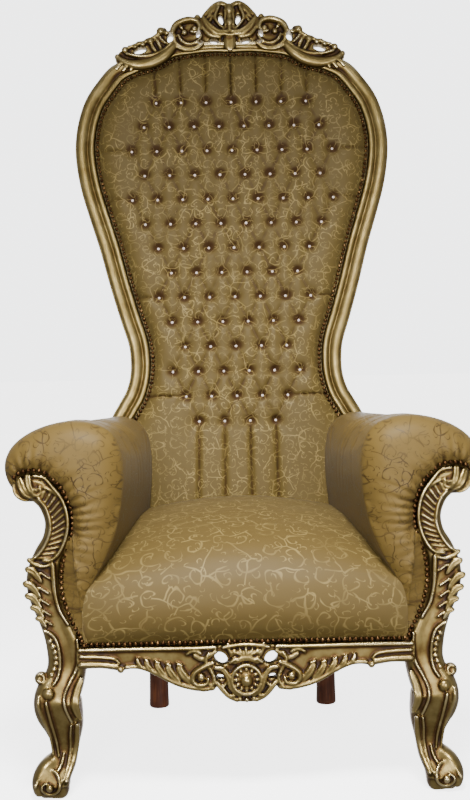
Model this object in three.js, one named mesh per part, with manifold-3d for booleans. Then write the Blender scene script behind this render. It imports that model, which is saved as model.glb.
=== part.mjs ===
// A high-backed upholstered throne in the rococo manner: carved and gilded beech frame, buttoned back,
// rolled arms and a domed sprung seat. Millimetres, +Z up, the sitter faces -Y.
// The origin is on the floor under the middle of the throne.
import * as THREE from 'three';
import { mergeVertices } from 'three/addons/utils/BufferGeometryUtils.js';
import Module from 'manifold-3d';

const wasm = await Module();
wasm.setup();

// Driving dimensions

const clearance = 0.8; // between pieces that touch
const carvingGrain = 0.7; // smallest step left in the carving
const paddingGrain = 0.1; // and in the upholstery

// Front posts: cabriole leg, arm support and scroll in one carved piece
const postHeight = 654;
const postSpread = 391; // from the middle of the throne to the middle of each front foot
const headRadius = 32; // scroll at the top of the arm support

// Seat frame
const railTop = 300;
const railHeight = 46;
const railThickness = 28;
const apronThickness = 30;
const apronSetback = 14; // face of the apron behind the front of the toes
const apronDrop = 116; // from the rail's top to the lowest point of the middle cartouche
const rearRailHalf = 286;
const rearRailDepth = 62;
const webbingThickness = 6;

// Rear legs, turned and tapered
const rearLegSpread = 209;
const rearLegTop = 40;
const rearLegFoot = 49;
const rearLegFillet = 4;
const rearLegInset = 6; // from the rear of the rail

// Back, measured in its own leaning frame, which starts at the rail's top
const seatDepth = 566; // from the face of the apron to the face of the back frame
const backLean = THREE.MathUtils.degToRad(6.56);
const backHeight = 1485;
const waistHalf = 238; // middle of the frame's moulding at the waist
const wideHalf = 370; // middle of the moulding at the widest place
const flareHalf = 300; // middle of the moulding behind the arms
const frameWidthTop = 50;
const frameWidthWaist = 49;
const frameDepth = 40; // behind the face
const mouldingProud = 14; // in front of the face
const crestDepth = 34;
const padProud = 34; // front of the buttoned pad before the face of the frame
const padBacking = 28; // pad behind the face of the frame
const panelThickness = 12; // upholstered outside back
const panelInset = 7;
const buttonStepX = 63; // from button to button in a row
const buttonStepZ = 62; // from row to row
const buttonTopZ = 1219; // height of the top row of buttons
const buttonRows = [7, 8, 9, 8, 9, 8, 7, 6, 7, 6, 5, 6, 5, 4];
const tuftDepth = 19;

// Upholstery of the seat and arms
const seatCrown = 240; // above the rail
const seatSideDrop = 0.165; // share of the crown lost at the arms
const seatNose = 22; // how far the front of the seat hangs over the apron
const armFrontInset = 16;

// Solids from rings of points

// A closed mesh as a solid that faces outwards.
function solidOf(points, triangles) {
  const geometry = new THREE.BufferGeometry();
  geometry.setAttribute('position', new THREE.Float32BufferAttribute(points, 3));
  geometry.setIndex(triangles);
  return solidOfGeometry(geometry);
}

function solidOfGeometry(geometry) {
  const bare = geometry.clone();
  bare.deleteAttribute('normal');
  bare.deleteAttribute('uv');
  const merged = mergeVertices(bare, 1e-3);
  const corners = new Uint32Array(merged.index.array);
  const build = () => new wasm.Manifold(
    new wasm.Mesh({ numProp: 3, vertProperties: merged.attributes.position.array, triVerts: corners }),
  );
  const solid = build();
  if (solid.volume() > 0) return solid;
  for (let i = 0; i < corners.length; i += 3) {
    [corners[i + 1], corners[i + 2]] = [corners[i + 2], corners[i + 1]];
  }
  return build();
}

function geometryOf(solid) {
  const mesh = solid.getMesh();
  const points = new Float32Array(mesh.numVert * 3);
  for (let i = 0; i < mesh.numVert; i++) {
    points.set(mesh.vertProperties.subarray(i * mesh.numProp, i * mesh.numProp + 3), i * 3);
  }
  const geometry = new THREE.BufferGeometry();
  geometry.setAttribute('position', new THREE.BufferAttribute(points, 3));
  geometry.setIndex(new THREE.BufferAttribute(mesh.triVerts, 1));
  const faceted = geometry.toNonIndexed();
  faceted.computeVertexNormals();
  return faceted;
}

// A skin over rings of the same number of points, capped at both ends.
function loft(rings) {
  const n = rings[0].length;
  const points = rings.flat().flatMap((p) => [p.x, p.y, p.z]);
  const triangles = [];
  for (let r = 0; r < rings.length - 1; r++) {
    for (let i = 0; i < n; i++) {
      const j = (i + 1) % n;
      const [a, b, c, d] = [r * n + i, r * n + j, (r + 1) * n + i, (r + 1) * n + j];
      triangles.push(a, b, d, a, d, c);
    }
  }
  const end = (rings.length - 1) * n;
  for (const [a, b, c] of capTriangles(rings[0])) triangles.push(c, b, a);
  for (const [a, b, c] of capTriangles(rings[rings.length - 1])) triangles.push(end + a, end + b, end + c);
  return solidOf(points, triangles);
}

// The triangles of a flat ring, turned the way the ring runs.
function capTriangles(ring) {
  const normal = new THREE.Vector3();
  ring.forEach((p, i) => normal.add(p.clone().cross(ring[(i + 1) % ring.length])));
  const axes = ['x', 'y', 'z'];
  const main = [0, 1, 2].reduce((best, k) => {
    const stronger = Math.abs(normal.getComponent(k)) > Math.abs(normal.getComponent(best));
    return stronger ? k : best;
  });
  const [u, v] = [axes[(main + 1) % 3], axes[(main + 2) % 3]];
  const faces = THREE.ShapeUtils.triangulateShape(ring.map((p) => new THREE.Vector2(p[u], p[v])), []);
  return normal.getComponent(main) > 0 ? faces : faces.map((face) => [...face].reverse());
}

// Catmull-Rom through rows of numbers, with the given number of steps between two rows.
function smooth(rows, steps) {
  const last = rows.length - 1;
  const made = [];
  for (let i = 0; i < last; i++) {
    const [p0, p1, p2, p3] = [rows[Math.max(i - 1, 0)], rows[i], rows[i + 1], rows[Math.min(i + 2, last)]];
    for (let s = 0; s < steps; s++) {
      const t = s / steps;
      made.push(p1.map((v, k) => {
        const a = 2 * v;
        const b = (p2[k] - p0[k]) * t;
        const c = (2 * p0[k] - 5 * v + 4 * p2[k] - p3[k]) * t * t;
        const d = (3 * v - p0[k] - 3 * p2[k] + p3[k]) * t * t * t;
        return (a + b + c + d) / 2;
      }));
    }
  }
  made.push(rows[last]);
  return made;
}

// The direction square to a path in the XZ plane, pointing to +X where the path climbs.
function acrossPath(rows, i) {
  const from = rows[Math.max(i - 1, 0)];
  const to = rows[Math.min(i + 1, rows.length - 1)];
  return new THREE.Vector2(to[1] - from[1], from[0] - to[0]).normalize();
}

// A section swept along rows of [x, z, half width, y, half depth]. The section's u runs across the
// path and its v to the back.
function sweep(rows, section, grow = 0) {
  return loft(rows.map(([x, z, half, y, deep], i) => {
    const n = acrossPath(rows, i);
    return section.map(([u, v]) => {
      const across = u * (half + grow);
      return new THREE.Vector3(x + n.x * across, y + v * (deep + grow), z + n.y * across);
    });
  }));
}

// The section of a carved strand: a raised front on a flat ground.
const strandSection = [[-1, 0.8], [-0.5, -1], [0.5, -1], [1, 0.8]];

// A carved strand: rows of [x, z, half width], raised to both sides of the plane y.
function strand(rows, y, deep) {
  const full = rows.map(([x, z, half]) => [x, z, half, y, deep * Math.min(1, half / rows[0][2] + 0.4)]);
  return sweep(full, strandSection);
}

// A coil that winds in from the outer radius, starting at the angle start, in two strands that
// don't cross themselves.
function coil(x, z, outer, inner, turns, start, half, y, deep) {
  const count = 2 * Math.ceil(turns * 3.2);
  const rows = Array.from({ length: count + 1 }, (_, i) => {
    const t = i / count;
    const a = start + t * turns * 2 * Math.PI;
    const r = outer + (inner - outer) * t;
    return [x + r * Math.cos(a), z + r * Math.sin(a), half * (1 - 0.35 * t)];
  });
  const middle = count / 2;
  const tail = rows.slice(middle - 1).map(([px, pz, wide]) => [px, pz, 0.94 * wide]);
  return joined([strand(rows.slice(0, middle + 1), y, deep), strand(tail, y, 0.94 * deep)]);
}

function bead(x, y, z, radius, detail = 0) {
  return solidOfGeometry(new THREE.OctahedronGeometry(radius, detail)).translate([x, y, z]);
}

function joined(solids) {
  return wasm.Manifold.union(solids);
}

// The largest body of a solid, without the hollows and slivers that its parts leave between them.
function mainBody(solid, grain) {
  const body = solid.decompose().reduce((best, part) => (part.volume() > best.volume() ? part : best));
  return body.asOriginal().simplify(grain);
}

// Both halves of a symmetrical carving.
function withMirror(solids) {
  return [...solids, ...solids.map((s) => s.mirror([1, 0, 0]))];
}

function box(low, high) {
  const size = high.map((v, i) => v - low[i]);
  const geometry = new THREE.BoxGeometry(...size);
  return solidOfGeometry(geometry).translate(low.map((v, i) => v + size[i] / 2));
}

// Front posts

// The post's own measure: its carving keeps its proportions to its height.
const postUnit = postHeight / 654;

// Rows of [out from the foot, height, half width, back from the toes, half depth] in post units:
// foot, ankle, knee, rail block, arm support and the turn over into the scroll.
const postShape = [
  [0, 0, 25, 37, 25], [0, 11, 33, 37, 33], [4, 27, 38, 33, 38], [-2, 45, 37, 39, 37], [-18, 68, 28, 54, 28],
  [-23, 97, 28, 60, 28], [-21, 136, 40, 58, 39], [-13, 172, 48, 52, 46], [-11, 198, 46, 49, 46],
  [-24, 230, 41, 60, 41], [-30, 262, 39, 66, 40], [-26, 305, 38, 64, 38], [-10, 350, 33, 62, 34],
  [9, 405, 35, 60, 32], [11, 442, 35, 59, 32], [1, 478, 31, 58, 31], [-15, 512, 28, 58, 30],
  [-21, 552, 28, 57, 30], [-8, 592, 28, 56, 31], [16, 616, 27, 54, 32], [36, 620, 25, 54, 32],
];
const postRows = smooth(postShape, 2).map(([x, z, half, y, deep]) => [
  postSpread + x * postUnit, z * postUnit, half * postUnit, y * postUnit, deep * postUnit,
]);
// A hollow channel between two rims on the face, and a plain back.
const postSection = [
  [-1, -0.4], [-0.74, -1], [-0.4, -0.76], [0.4, -0.76], [0.74, -1], [1, -0.4], [0.88, 1], [-0.88, 1],
];
const head = { x: postSpread + 34 * postUnit, y: 54 * postUnit, z: 620 * postUnit, deep: 33 * postUnit };

function headSolid(grow) {
  const drum = new THREE.CylinderGeometry(headRadius + grow, headRadius + grow, 2 * (head.deep + grow), 16);
  return solidOfGeometry(drum).translate([head.x, head.y, head.z]);
}

// The right post. The coils and beads stand on its face and outer side, clear of the upholstery.
function postSolid() {
  const face = head.y - head.deep;
  const u = postUnit;
  const parts = [sweep(postRows, postSection), headSolid(0)];
  parts.push(coil(head.x, head.z, 24 * u, 12 * u, 1.2, -2.2, 5 * u, face, 7 * u));
  parts.push(bead(head.x, face, head.z, 10 * u, 1));
  const foot = { x: postSpread + 8 * u, y: -3 * u, z: 27 * u };
  parts.push(coil(foot.x, foot.z, 19 * u, 10 * u, 1, 1.2, 4 * u, foot.y + 3 * u, 6 * u));
  parts.push(bead(foot.x, foot.y + 3 * u, foot.z, 8 * u, 1));
  parts.push(bead(postSpread + 22 * u, 30 * u, 236 * u, 15 * u, 1)); // knob over the knee
  parts.push(bead(postSpread + 13 * u, 8 * u, 208 * u, 10 * u, 1));
  for (let i = 0; i < 5; i++) {
    parts.push(bead(postSpread + (4 - 0.8 * i) * u, 29 * u, (252 + 12.3 * i) * u, 7.9 * u));
  }
  const collar = [[-18, 470, 5], [4, 459, 6], [34, 470, 5]];
  parts.push(strand(collar.map(([x, z, r]) => [postSpread + x * u, z * u, r * u]), 30 * u, 8 * u));
  const leaf = [[-4, 455, 8], [10, 425, 13], [0, 385, 10], [-22, 330, 4]];
  parts.push(strand(leaf.map(([x, z, r]) => [postSpread + x * u, z * u, r * u]), 36 * u, 14 * u));
  return mainBody(joined(parts).subtract(box([0, -100, -50], [2 * postSpread, 200, 0])), carvingGrain);
}

// The room that the right post takes from its neighbours, open to the front.
function postPocket(grow) {
  const open = [[-1, -3], [1, -3], [1, 1], [-1, 1]];
  const drum = headSolid(grow);
  const ahead = drum.translate([0, -2 * head.deep, 0]);
  return joined([sweep(postRows, open, grow), drum, ahead]);
}

// Back frame, in the back's own frame: x across, y to the back, z up the lean

// Rows of [share of the back's height, share from the waist to the widest place or to the flare].
const upperShape = [
  [0.381, 0], [0.414, 0.04], [0.457, 0.19], [0.515, 0.38], [0.576, 0.56], [0.637, 0.77], [0.678, 0.9],
  [0.718, 0.98], [0.752, 1], [0.787, 0.95], [0.823, 0.82], [0.852, 0.61],
];
const lowerShape = [
  [0, 0.74], [0.07, 0.8], [0.176, 0.94], [0.237, 1], [0.275, 0.88], [0.302, 0.55], [0.325, 0.24], [0.352, 0.05],
];
// Middle of the moulding from the rail up to the crest: [x, z, half width].
const stileRows = smooth([
  ...lowerShape.map(([h, s]) => [waistHalf + (flareHalf - waistHalf) * s, h * backHeight, frameWidthWaist / 2]),
  ...upperShape.map(([h, s]) => [
    waistHalf + (wideHalf - waistHalf) * s, h * backHeight,
    THREE.MathUtils.lerp(frameWidthWaist, frameWidthTop, Math.min(1, s)) / 2,
  ]),
], 2);
const stileTop = stileRows[stileRows.length - 1];

// The crest rail dips at each side of the middle: [share of the stile top's x, share of the height].
const crestRailShape = [[1, 0.852], [0.9, 0.877], [0.78, 0.888], [0.68, 0.892], [0.58, 0.899],
  [0.46, 0.913], [0.32, 0.918], [0.16, 0.921], [0, 0.92]];
const crestRailRows = smooth(crestRailShape.map(([s, h], i) => [
  stileTop[0] * s, backHeight * h, i === 0 ? frameWidthTop / 2 : frameWidthTop * 0.32,
]), 1);

// The moulding: a broad round, a hollow and a bead towards the upholstery.
const mouldingSection = [[1, -0.15], [0.74, -0.9], [0.2, -0.95], [-0.25, -0.5], [-0.7, -0.78], [-1, -0.2]];

// The section as [across, back] for one half width, with a flat rear side.
function mouldingRing([x, z, half], n, grow = 0) {
  const front = mouldingSection.map(([u, v]) => [u * (half + grow), v * mouldingProud]);
  const ring = [...front, [-half - grow, frameDepth], [half + grow, frameDepth]];
  return ring.map(([across, back]) => new THREE.Vector3(x + n.x * across, back, z + n.y * across));
}

function stileSolid(grow = 0) {
  const foot = [stileRows[0][0], -frameDepth / 4, stileRows[0][2]];
  const rows = [foot, ...stileRows];
  return loft(rows.map((row, i) => mouldingRing(row, acrossPath(rows, i), grow)));
}

// What lies below the level top of the seat rails.
const belowRails = box([-600, -300, -200], [600, 300, 0]).rotate([THREE.MathUtils.radToDeg(backLean), 0, 0]);

// The inner or outer edge of the whole frame, from the right foot over the crest to the left foot.
function frameOutline(offset) {
  const half = [...stileRows, ...crestRailRows.slice(1)];
  const right = half.map((row, i) => {
    const n = acrossPath(half, i);
    const out = Math.sign(offset) * row[2] + (offset - Math.sign(offset));
    return [row[0] + n.x * out, row[1] + n.y * out];
  });
  right[right.length - 1][0] = 0;
  const left = right.slice(0, -1).reverse().map(([x, z]) => [-x, z]);
  return [...right, ...left];
}

// The pierced board of the crest, right half: [x, z] in shares of the back's height.
const crestBoard = [
  [0, 0.9966], [0.0047, 0.9966], [0.0135, 0.9975], [0.0189, 1.0001], [0.0246, 0.9972], [0.0305, 0.989], [0.0404, 0.9785],
  [0.047, 0.9705], [0.0535, 0.976], [0.0593, 0.974], [0.0625, 0.967], [0.072, 0.9683], [0.084, 0.9655], [0.0935, 0.9585],
  [0.0985, 0.9492], [0.106, 0.949], [0.1095, 0.955], [0.1175, 0.9565], [0.1225, 0.9505], [0.125, 0.943], [0.134, 0.9395],
  [0.142, 0.9375], [0.148, 0.9325], [0.158, 0.932], [0.1635, 0.9265], [0.1735, 0.9255], [0.1785, 0.918],
  [0.1885, 0.9135], [0.1935, 0.907], [0.196, 0.8975], [0.188, 0.892], [0.17, 0.889], [0.15, 0.8885], [0.12, 0.896],
  [0.08, 0.91], [0.04, 0.917], [0, 0.918],
];
// Its holes: [x, z, half width, half height, turn in degrees].
const crestHoles = [
  [0.0165, 0.968, 0.0042, 0.009, -8], [0.027, 0.9285, 0.0105, 0.005, 18], [0.05, 0.9265, 0.006, 0.0042, 0],
  [0.052, 0.9425, 0.0045, 0.0055, 30], [0.1005, 0.936, 0.0062, 0.0078, 0], [0.151, 0.918, 0.011, 0.0055, -14],
];

// What stands on the board, right half, in the same shares: swag, scroll, leaves and knobs.
function crestCarving() {
  const h = backHeight;
  const at = (rows) => rows.map(([x, z, half]) => [x * h, z * h, half * h]);
  const y = -12;
  const deep = crestDepth * 0.4;
  return [
    strand(at([[0.106, 0.932, 0.005], [0.118, 0.913, 0.0085], [0.142, 0.902, 0.0105], [0.168, 0.902, 0.0095],
      [0.188, 0.911, 0.005]]), y, deep),
    coil(0.0795 * h, 0.942 * h, 0.0183 * h, 0.0105 * h, 1.05, -2.4, 0.0062 * h, y, deep),
    bead(0.0795 * h, y - 3, 0.942 * h, 0.0085 * h, 1),
    strand(at([[0.002, 0.939, 0.0075], [0.0175, 0.944, 0.0085], [0.034, 0.957, 0.008], [0.046, 0.971, 0.004]]), y, deep),
    strand(at([[0.012, 0.933, 0.004], [0.037, 0.944, 0.0055], [0.052, 0.96, 0.004]]), y, deep * 0.7),
    bead(0.0189 * h, y + 4, 0.9925 * h, 0.0072 * h),
    bead(0.0555 * h, y + 4, 0.9685 * h, 0.0068 * h),
    bead(0.115 * h, y + 4, 0.949 * h, 0.0075 * h),
    bead(0.1405 * h, y + 3, 0.9325 * h, 0.0068 * h),
    bead(0.1655 * h, y + 3, 0.9205 * h, 0.006 * h),
    bead(0.186 * h, y + 3, 0.9075 * h, 0.006 * h),
  ];
}

function crestBoardSolid() {
  const h = backHeight;
  const right = crestBoard.map(([x, z]) => [x * h, z * h]);
  const left = right.slice(1, -1).reverse().map(([x, z]) => [-x, z]);
  const shape = new THREE.Shape([...right, ...left].map(([x, z]) => new THREE.Vector2(x, z)));
  for (const side of [-1, 1]) {
    for (const [x, z, wide, high, turn] of crestHoles) {
      const hole = new THREE.Path();
      hole.absellipse(side * x * h, z * h, wide * h, high * h, 0, 2 * Math.PI, false, THREE.MathUtils.degToRad(side * turn));
      shape.holes.push(hole);
    }
  }
  const board = new THREE.ExtrudeGeometry(shape, { depth: crestDepth * 0.75, curveSegments: 4, bevelEnabled: false });
  board.rotateX(Math.PI / 2);
  board.translate(0, crestDepth * 0.43, 0);
  return solidOfGeometry(board);
}

// The right half of the rail over the pad, from the stile to the middle.
function crestRail(grow = 0) {
  const ends = [...stileRows.slice(-2, -1), ...crestRailRows];
  const rings = crestRailRows.map((row, i) => mouldingRing(row, acrossPath(ends, i + 1), grow));
  rings[rings.length - 1].forEach((p) => { p.x = 0; });
  return loft(rings);
}

function crestSolid() {
  const rail = crestRail();
  const h = backHeight;
  const stem = strand([[0, 0.922 * h, 10], [0, 0.95 * h, 12], [0, 0.98 * h, 11], [0, 0.993 * h, 6]], -12, crestDepth * 0.42);
  const flower = bead(0, -20, 0.972 * h, 13, 1);
  const knot = bead(0, -20, 0.935 * h, 15, 1);
  const lot = joined([...withMirror([rail, ...crestCarving()]), crestBoardSolid(), stem, flower, knot]);
  const end = stileEndCutter().translate([0, 0, clearance]);
  return mainBody(lot.subtract(joined([...withMirror([end]), padBody(clearance)])), carvingGrain);
}

// The half space below the joint between stile and crest, which cuts the carving back there.
function stileEndCutter() {
  const n = acrossPath(stileRows, stileRows.length - 1);
  const size = frameWidthTop * 1.6;
  const geometry = new THREE.BoxGeometry(2 * size, 6 * size, 2 * size);
  const turn = THREE.MathUtils.radToDeg(Math.atan2(-n.y, n.x));
  return solidOfGeometry(geometry).translate([0, 0, -size]).rotate([0, turn, 0])
    .translate([stileTop[0], 0, stileTop[1]]);
}

// Buttoned pad

// An outline moved inwards, and closed along the bottom at the height low.
function padOutline(inset, low) {
  const inner = frameOutline(-1 - clearance);
  return inner.map(([x, z], i) => {
    const from = inner[Math.max(i - 1, 0)];
    const to = inner[Math.min(i + 1, inner.length - 1)];
    const n = new THREE.Vector2(to[1] - from[1], from[0] - to[0]).normalize();
    return [x - n.x * inset, z - n.y * inset];
  }).filter(([, z]) => z > low);
}

const padLow = 130; // the pad runs down behind the seat
const padRings = [[0, padBacking], [0, -3], [15, -0.68 * padProud], [55, -padProud]];

function padBody(grow = 0) {
  const rings = padRings.map(([inset, back]) => {
    const outline = padOutline(inset - grow, padLow - grow);
    const foot = outline.length - 1;
    const low = padLow - grow;
    const closed = [[outline[0][0], low], ...outline, [outline[foot][0], low]];
    return { closed, y: back < 0 ? back - grow : back + grow };
  });
  const count = Math.min(...rings.map((r) => r.closed.length));
  return loft(rings.map(({ closed, y }) => {
    const trimmed = closed.length === count ? closed : [closed[0], ...closed.slice(2, -2), closed[closed.length - 1]];
    return trimmed.map(([x, z]) => new THREE.Vector3(x, y, z));
  }));
}

// Every button's place: staggered rows that follow the shape of the back.
function buttonPlaces() {
  return buttonRows.flatMap((count, row) => Array.from({ length: count }, (_, i) => [
    (i - (count - 1) / 2) * buttonStepX, buttonTopZ - row * buttonStepZ,
  ]));
}

function padSolid() {
  const pits = buttonPlaces().map(([x, z]) => {
    const pit = new THREE.ConeGeometry(1, tuftDepth, 4);
    pit.scale(0.495 * buttonStepX, 1, 0.99 * buttonStepZ);
    return solidOfGeometry(pit).translate([x, -padProud + tuftDepth / 2 - 0.05, z]);
  });
  const frame = withMirror([stileSolid(clearance), crestRail(clearance)]);
  return mainBody(padBody().subtract(joined([...frame, ...pits])), carvingGrain);
}

// Outside back

function panelSolid() {
  const at = (inset, back) => {
    const outline = frameOutline(1).map(([x, z]) => [x, z]);
    return outline.map(([x, z], i) => {
      const from = outline[Math.max(i - 1, 0)];
      const to = outline[Math.min(i + 1, outline.length - 1)];
      const n = new THREE.Vector2(to[1] - from[1], from[0] - to[0]).normalize();
      return new THREE.Vector3(x - n.x * inset, back, Math.max(z - n.y * inset, 0));
    });
  };
  const rear = frameDepth + clearance;
  return loft([
    at(panelInset, rear), at(panelInset, rear + panelThickness / 2), at(panelInset * 4, rear + panelThickness),
  ]).subtract(belowRails).simplify(carvingGrain);
}

// The back's frame in the throne's frame.
const backOrigin = new THREE.Vector3(0, apronSetback + seatDepth, railTop + clearance);
const backMatrix = new THREE.Matrix4().makeRotationX(-backLean).setPosition(backOrigin);
const inThrone = (solid) => solid.transform(backMatrix.elements);

// The face of the back frame at a height in the throne's frame.
function backFaceY(z) {
  return backOrigin.y + (z - backOrigin.z) * Math.tan(backLean);
}

// Arms

// Section of an arm behind the scroll, in post units: [out from the post's foot, height], going up
// the inside, over the roll, under it and down the outside. null height: the rail.
const armFront = [
  [-73, null], [-70, 372], [-82, 420], [-104, 457], [-128, 515], [-144, 590], [-149, 650], [-143, 702], [-118, 736],
  [-66, 751], [-14, 746], [36, 728], [72, 700], [87, 664], [78, 626], [48, 598], [14, 583], [2, 540], [4, 450],
  [8, 380], [9, null],
];
const armRear = [
  [-152, null], [-154, 372], [-158, 420], [-162, 460], [-166, 520], [-169, 590], [-168, 645], [-160, 690], [-140, 716],
  [-108, 729], [-78, 726], [-52, 708], [-38, 685], [-33, 660], [-38, 635], [-54, 618], [-72, 603], [-86, 560],
  [-94, 480], [-97, 400], [-99, null],
];

function armSolid(grow = 0) {
  const u = postUnit;
  const low = railTop + clearance - grow;
  const blend = (t, y, shrink) => {
    const ring = armFront.map(([x, z], i) => [
      THREE.MathUtils.lerp(x, armRear[i][0], t),
      z === null ? null : THREE.MathUtils.lerp(z, armRear[i][1], t),
    ]);
    const middle = [-40, 600];
    return ring.map(([x, z]) => {
      const flat = z === null ? railTop / u : z;
      const reach = Math.hypot(x - middle[0], flat - middle[1]);
      const out = (grow - shrink * Math.min(1, reach / 120)) / (reach || 1) / u;
      const px = postSpread + (x + (x - middle[0]) * out) * u;
      const pz = z === null ? low : (z + (z - middle[1]) * out) * u;
      return new THREE.Vector3(px, y(pz), pz);
    });
  };
  const rear = (z) => backFaceY(z) - mouldingProud / Math.cos(backLean) - clearance + grow;
  const front = armFrontInset * u;
  return loft([
    blend(0, () => front - grow, 26 * u), blend(0, () => front + 9 * u - grow, 9 * u),
    blend(0, () => front + 34 * u, 0), blend(0.4, () => front + 240 * u, 5), blend(1, rear, 0),
  ]);
}

// Seat

const seatBack = apronSetback + seatDepth + 26;
// Profile of the seat from front to back: [y, height above the rail as a share of the crown].
const seatProfile = [
  [apronSetback + 18, 0], [apronSetback + 14, 0.06], [apronSetback + 14 - 0.7 * seatNose, 0.16],
  [apronSetback + 14 - seatNose, 0.34], [apronSetback + 14 - 0.55 * seatNose, 0.52], [apronSetback + 30, 0.68],
  [apronSetback + 75, 0.81], [apronSetback + 150, 0.9], [apronSetback + 260, 0.97], [apronSetback + 390, 1],
  [apronSetback + 500, 0.985], [seatBack, 0.94],
];

function seatSolid() {
  const reach = postSpread - 40;
  const low = railTop + clearance;
  const stations = 11;
  const rings = Array.from({ length: stations }, (_, i) => {
    const x = reach * (-1 + (2 * i) / (stations - 1));
    const drop = 1 - seatSideDrop * (x / 268) ** 2;
    const bow = 1 - (x / reach) ** 4;
    const ring = seatProfile.map(([y, share]) => {
      const nose = y < apronSetback + 14 ? (apronSetback + 14 - y) * bow : 0;
      const out = y < apronSetback + 14 ? apronSetback + 14 - nose : y;
      return new THREE.Vector3(x, out, low + share * seatCrown * drop);
    });
    return [...ring, new THREE.Vector3(x, seatBack, low)];
  });
  return loft(rings);
}

// Seat frame

const apronFace = apronSetback;
const apronBack = apronSetback + apronThickness;

// The lower edge of the apron from the middle out: [share of the reach, share of the drop].
const apronEdge = [[0, 0.5], [0.1, 0.5], [0.17, 0.62], [0.26, 0.74], [0.34, 0.72], [0.44, 0.56], [0.55, 0.42],
  [0.66, 0.36], [0.78, 0.39], [0.9, 0.36], [1.2, 0.38]];

function apronSolid() {
  const reach = postSpread - 67;
  const drop = apronDrop;
  const outline = apronEdge.map(([s, d]) => new THREE.Vector2(s * reach, railTop - d * drop));
  const shape = new THREE.Shape([
    ...[...outline].reverse().slice(0, -1).map((p) => new THREE.Vector2(-p.x, p.y)), ...outline,
    new THREE.Vector2(outline[outline.length - 1].x, railTop),
    new THREE.Vector2(-outline[outline.length - 1].x, railTop),
  ]);
  const plate = new THREE.ExtrudeGeometry(shape, { depth: apronThickness - 8, bevelEnabled: false });
  plate.rotateX(Math.PI / 2);
  plate.translate(0, apronBack, 0);
  const y = apronFace + 6;
  const at = (rows) => rows.map(([x, d, half]) => [x * reach, railTop - d * drop, half * drop]);
  const carved = [
    // top fillet
    strand(at([[0.13, 0.03, 0.045], [0.5, 0.03, 0.045], [1.05, 0.03, 0.045]]), y, 7),
    // lower moulding from the leg to the leaves
    strand(at([[1.08, 0.31, 0.07], [0.85, 0.29, 0.08], [0.62, 0.3, 0.07]]), y, 8),
    bead(0.765 * reach, y - 1, railTop - 0.41 * drop, 0.064 * drop),
    // scroll beside the cartouche
    coil(0.29 * reach, railTop - 0.57 * drop, 25, 14, 1.05, 2.4, 6, y, 9),
    bead(0.29 * reach, y - 3, railTop - 0.57 * drop, 0.12 * drop, 1),
    // shell leaf round the cartouche
    strand(at([[0.14, 0.28, 0.06], [0.165, 0.5, 0.075], [0.14, 0.74, 0.08], [0.06, 0.92, 0.08], [0, 0.96, 0.07]]), y, 10),
  ];
  for (let i = 0; i < 4; i++) {
    const x = 0.4 + 0.085 * i;
    const d = 0.58 - 0.075 * i;
    carved.push(strand(at([[x - 0.035, d + 0.07, 0.055], [x + 0.02, d - 0.05, 0.075], [x + 0.06, d - 0.2, 0.035]]), y, 8));
  }
  const middle = { z: railTop - 0.6 * drop, r: 0.24 * drop };
  const ring = new THREE.TorusGeometry(middle.r, 0.06 * drop, 6, 16);
  ring.rotateX(Math.PI / 2);
  const boss = new THREE.CylinderGeometry(middle.r, middle.r, apronThickness - 8, 16);
  const centre = [
    solidOfGeometry(ring).translate([0, apronFace, middle.z]),
    solidOfGeometry(boss).translate([0, apronFace + 11, middle.z]),
    bead(0, apronFace, middle.z, 0.13 * drop, 1),
    strand(at([[-0.13, 0.2, 0.08], [0, 0.12, 0.12], [0.13, 0.2, 0.08]]), y - 1, 9),
  ];
  const holes = withMirror([
    box([0.115 * reach, apronFace - 30, railTop - 0.36 * drop], [0.215 * reach, apronBack + 30, railTop - 0.12 * drop]),
  ]);
  const pierced = solidOfGeometry(plate).subtract(joined(holes));
  const whole = joined([pierced, ...withMirror(carved), ...centre]);
  const level = box([-2 * reach, apronFace - 100, railTop], [2 * reach, apronBack + 100, railTop + 200]);
  const pocket = postPocket(clearance);
  return mainBody(whole.subtract(joined([level, ...withMirror([pocket])])), carvingGrain);
}

// Where the middle of the side rail runs: from inside the post to the rear rail.
const railFrontX = postSpread - 6;
const railRearX = rearRailHalf - railThickness / 2;
const rearRailFront = seatBack - 18;

function sideRailSolid() {
  const section = [[-1, 0], [1, 0], [1, -0.3], [0.7, -0.45], [1, -0.62], [0.8, -1], [-1, -1]];
  const ring = (x, y) => section.map(([u, v]) => (
    new THREE.Vector3(x + (u * railThickness) / 2, y, railTop + v * railHeight)
  ));
  const rail = loft([ring(railFrontX, apronBack), ring(railRearX, rearRailFront - clearance)]);
  return rail.subtract(postPocket(clearance));
}

function rearRailGeometry() {
  return new THREE.BoxGeometry(2 * rearRailHalf, rearRailDepth, railHeight);
}

// Webbing and black cloth that close the seat from below, held between the rails.
function webbingSolid() {
  const start = apronBack + clearance;
  const end = rearRailFront - clearance;
  const inner = (y) => THREE.MathUtils.mapLinear(y, apronBack, rearRailFront - clearance, railFrontX, railRearX)
    - railThickness / 2 - clearance;
  const ring = (y) => [
    new THREE.Vector3(-inner(y), y, railTop), new THREE.Vector3(inner(y), y, railTop),
    new THREE.Vector3(inner(y), y, railTop - webbingThickness), new THREE.Vector3(-inner(y), y, railTop - webbingThickness),
  ];
  const sheet = loft([ring(start), ring(end)]);
  const pocket = postPocket(clearance);
  return sheet.subtract(pocket).subtract(pocket.mirror([1, 0, 0]));
}

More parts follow.
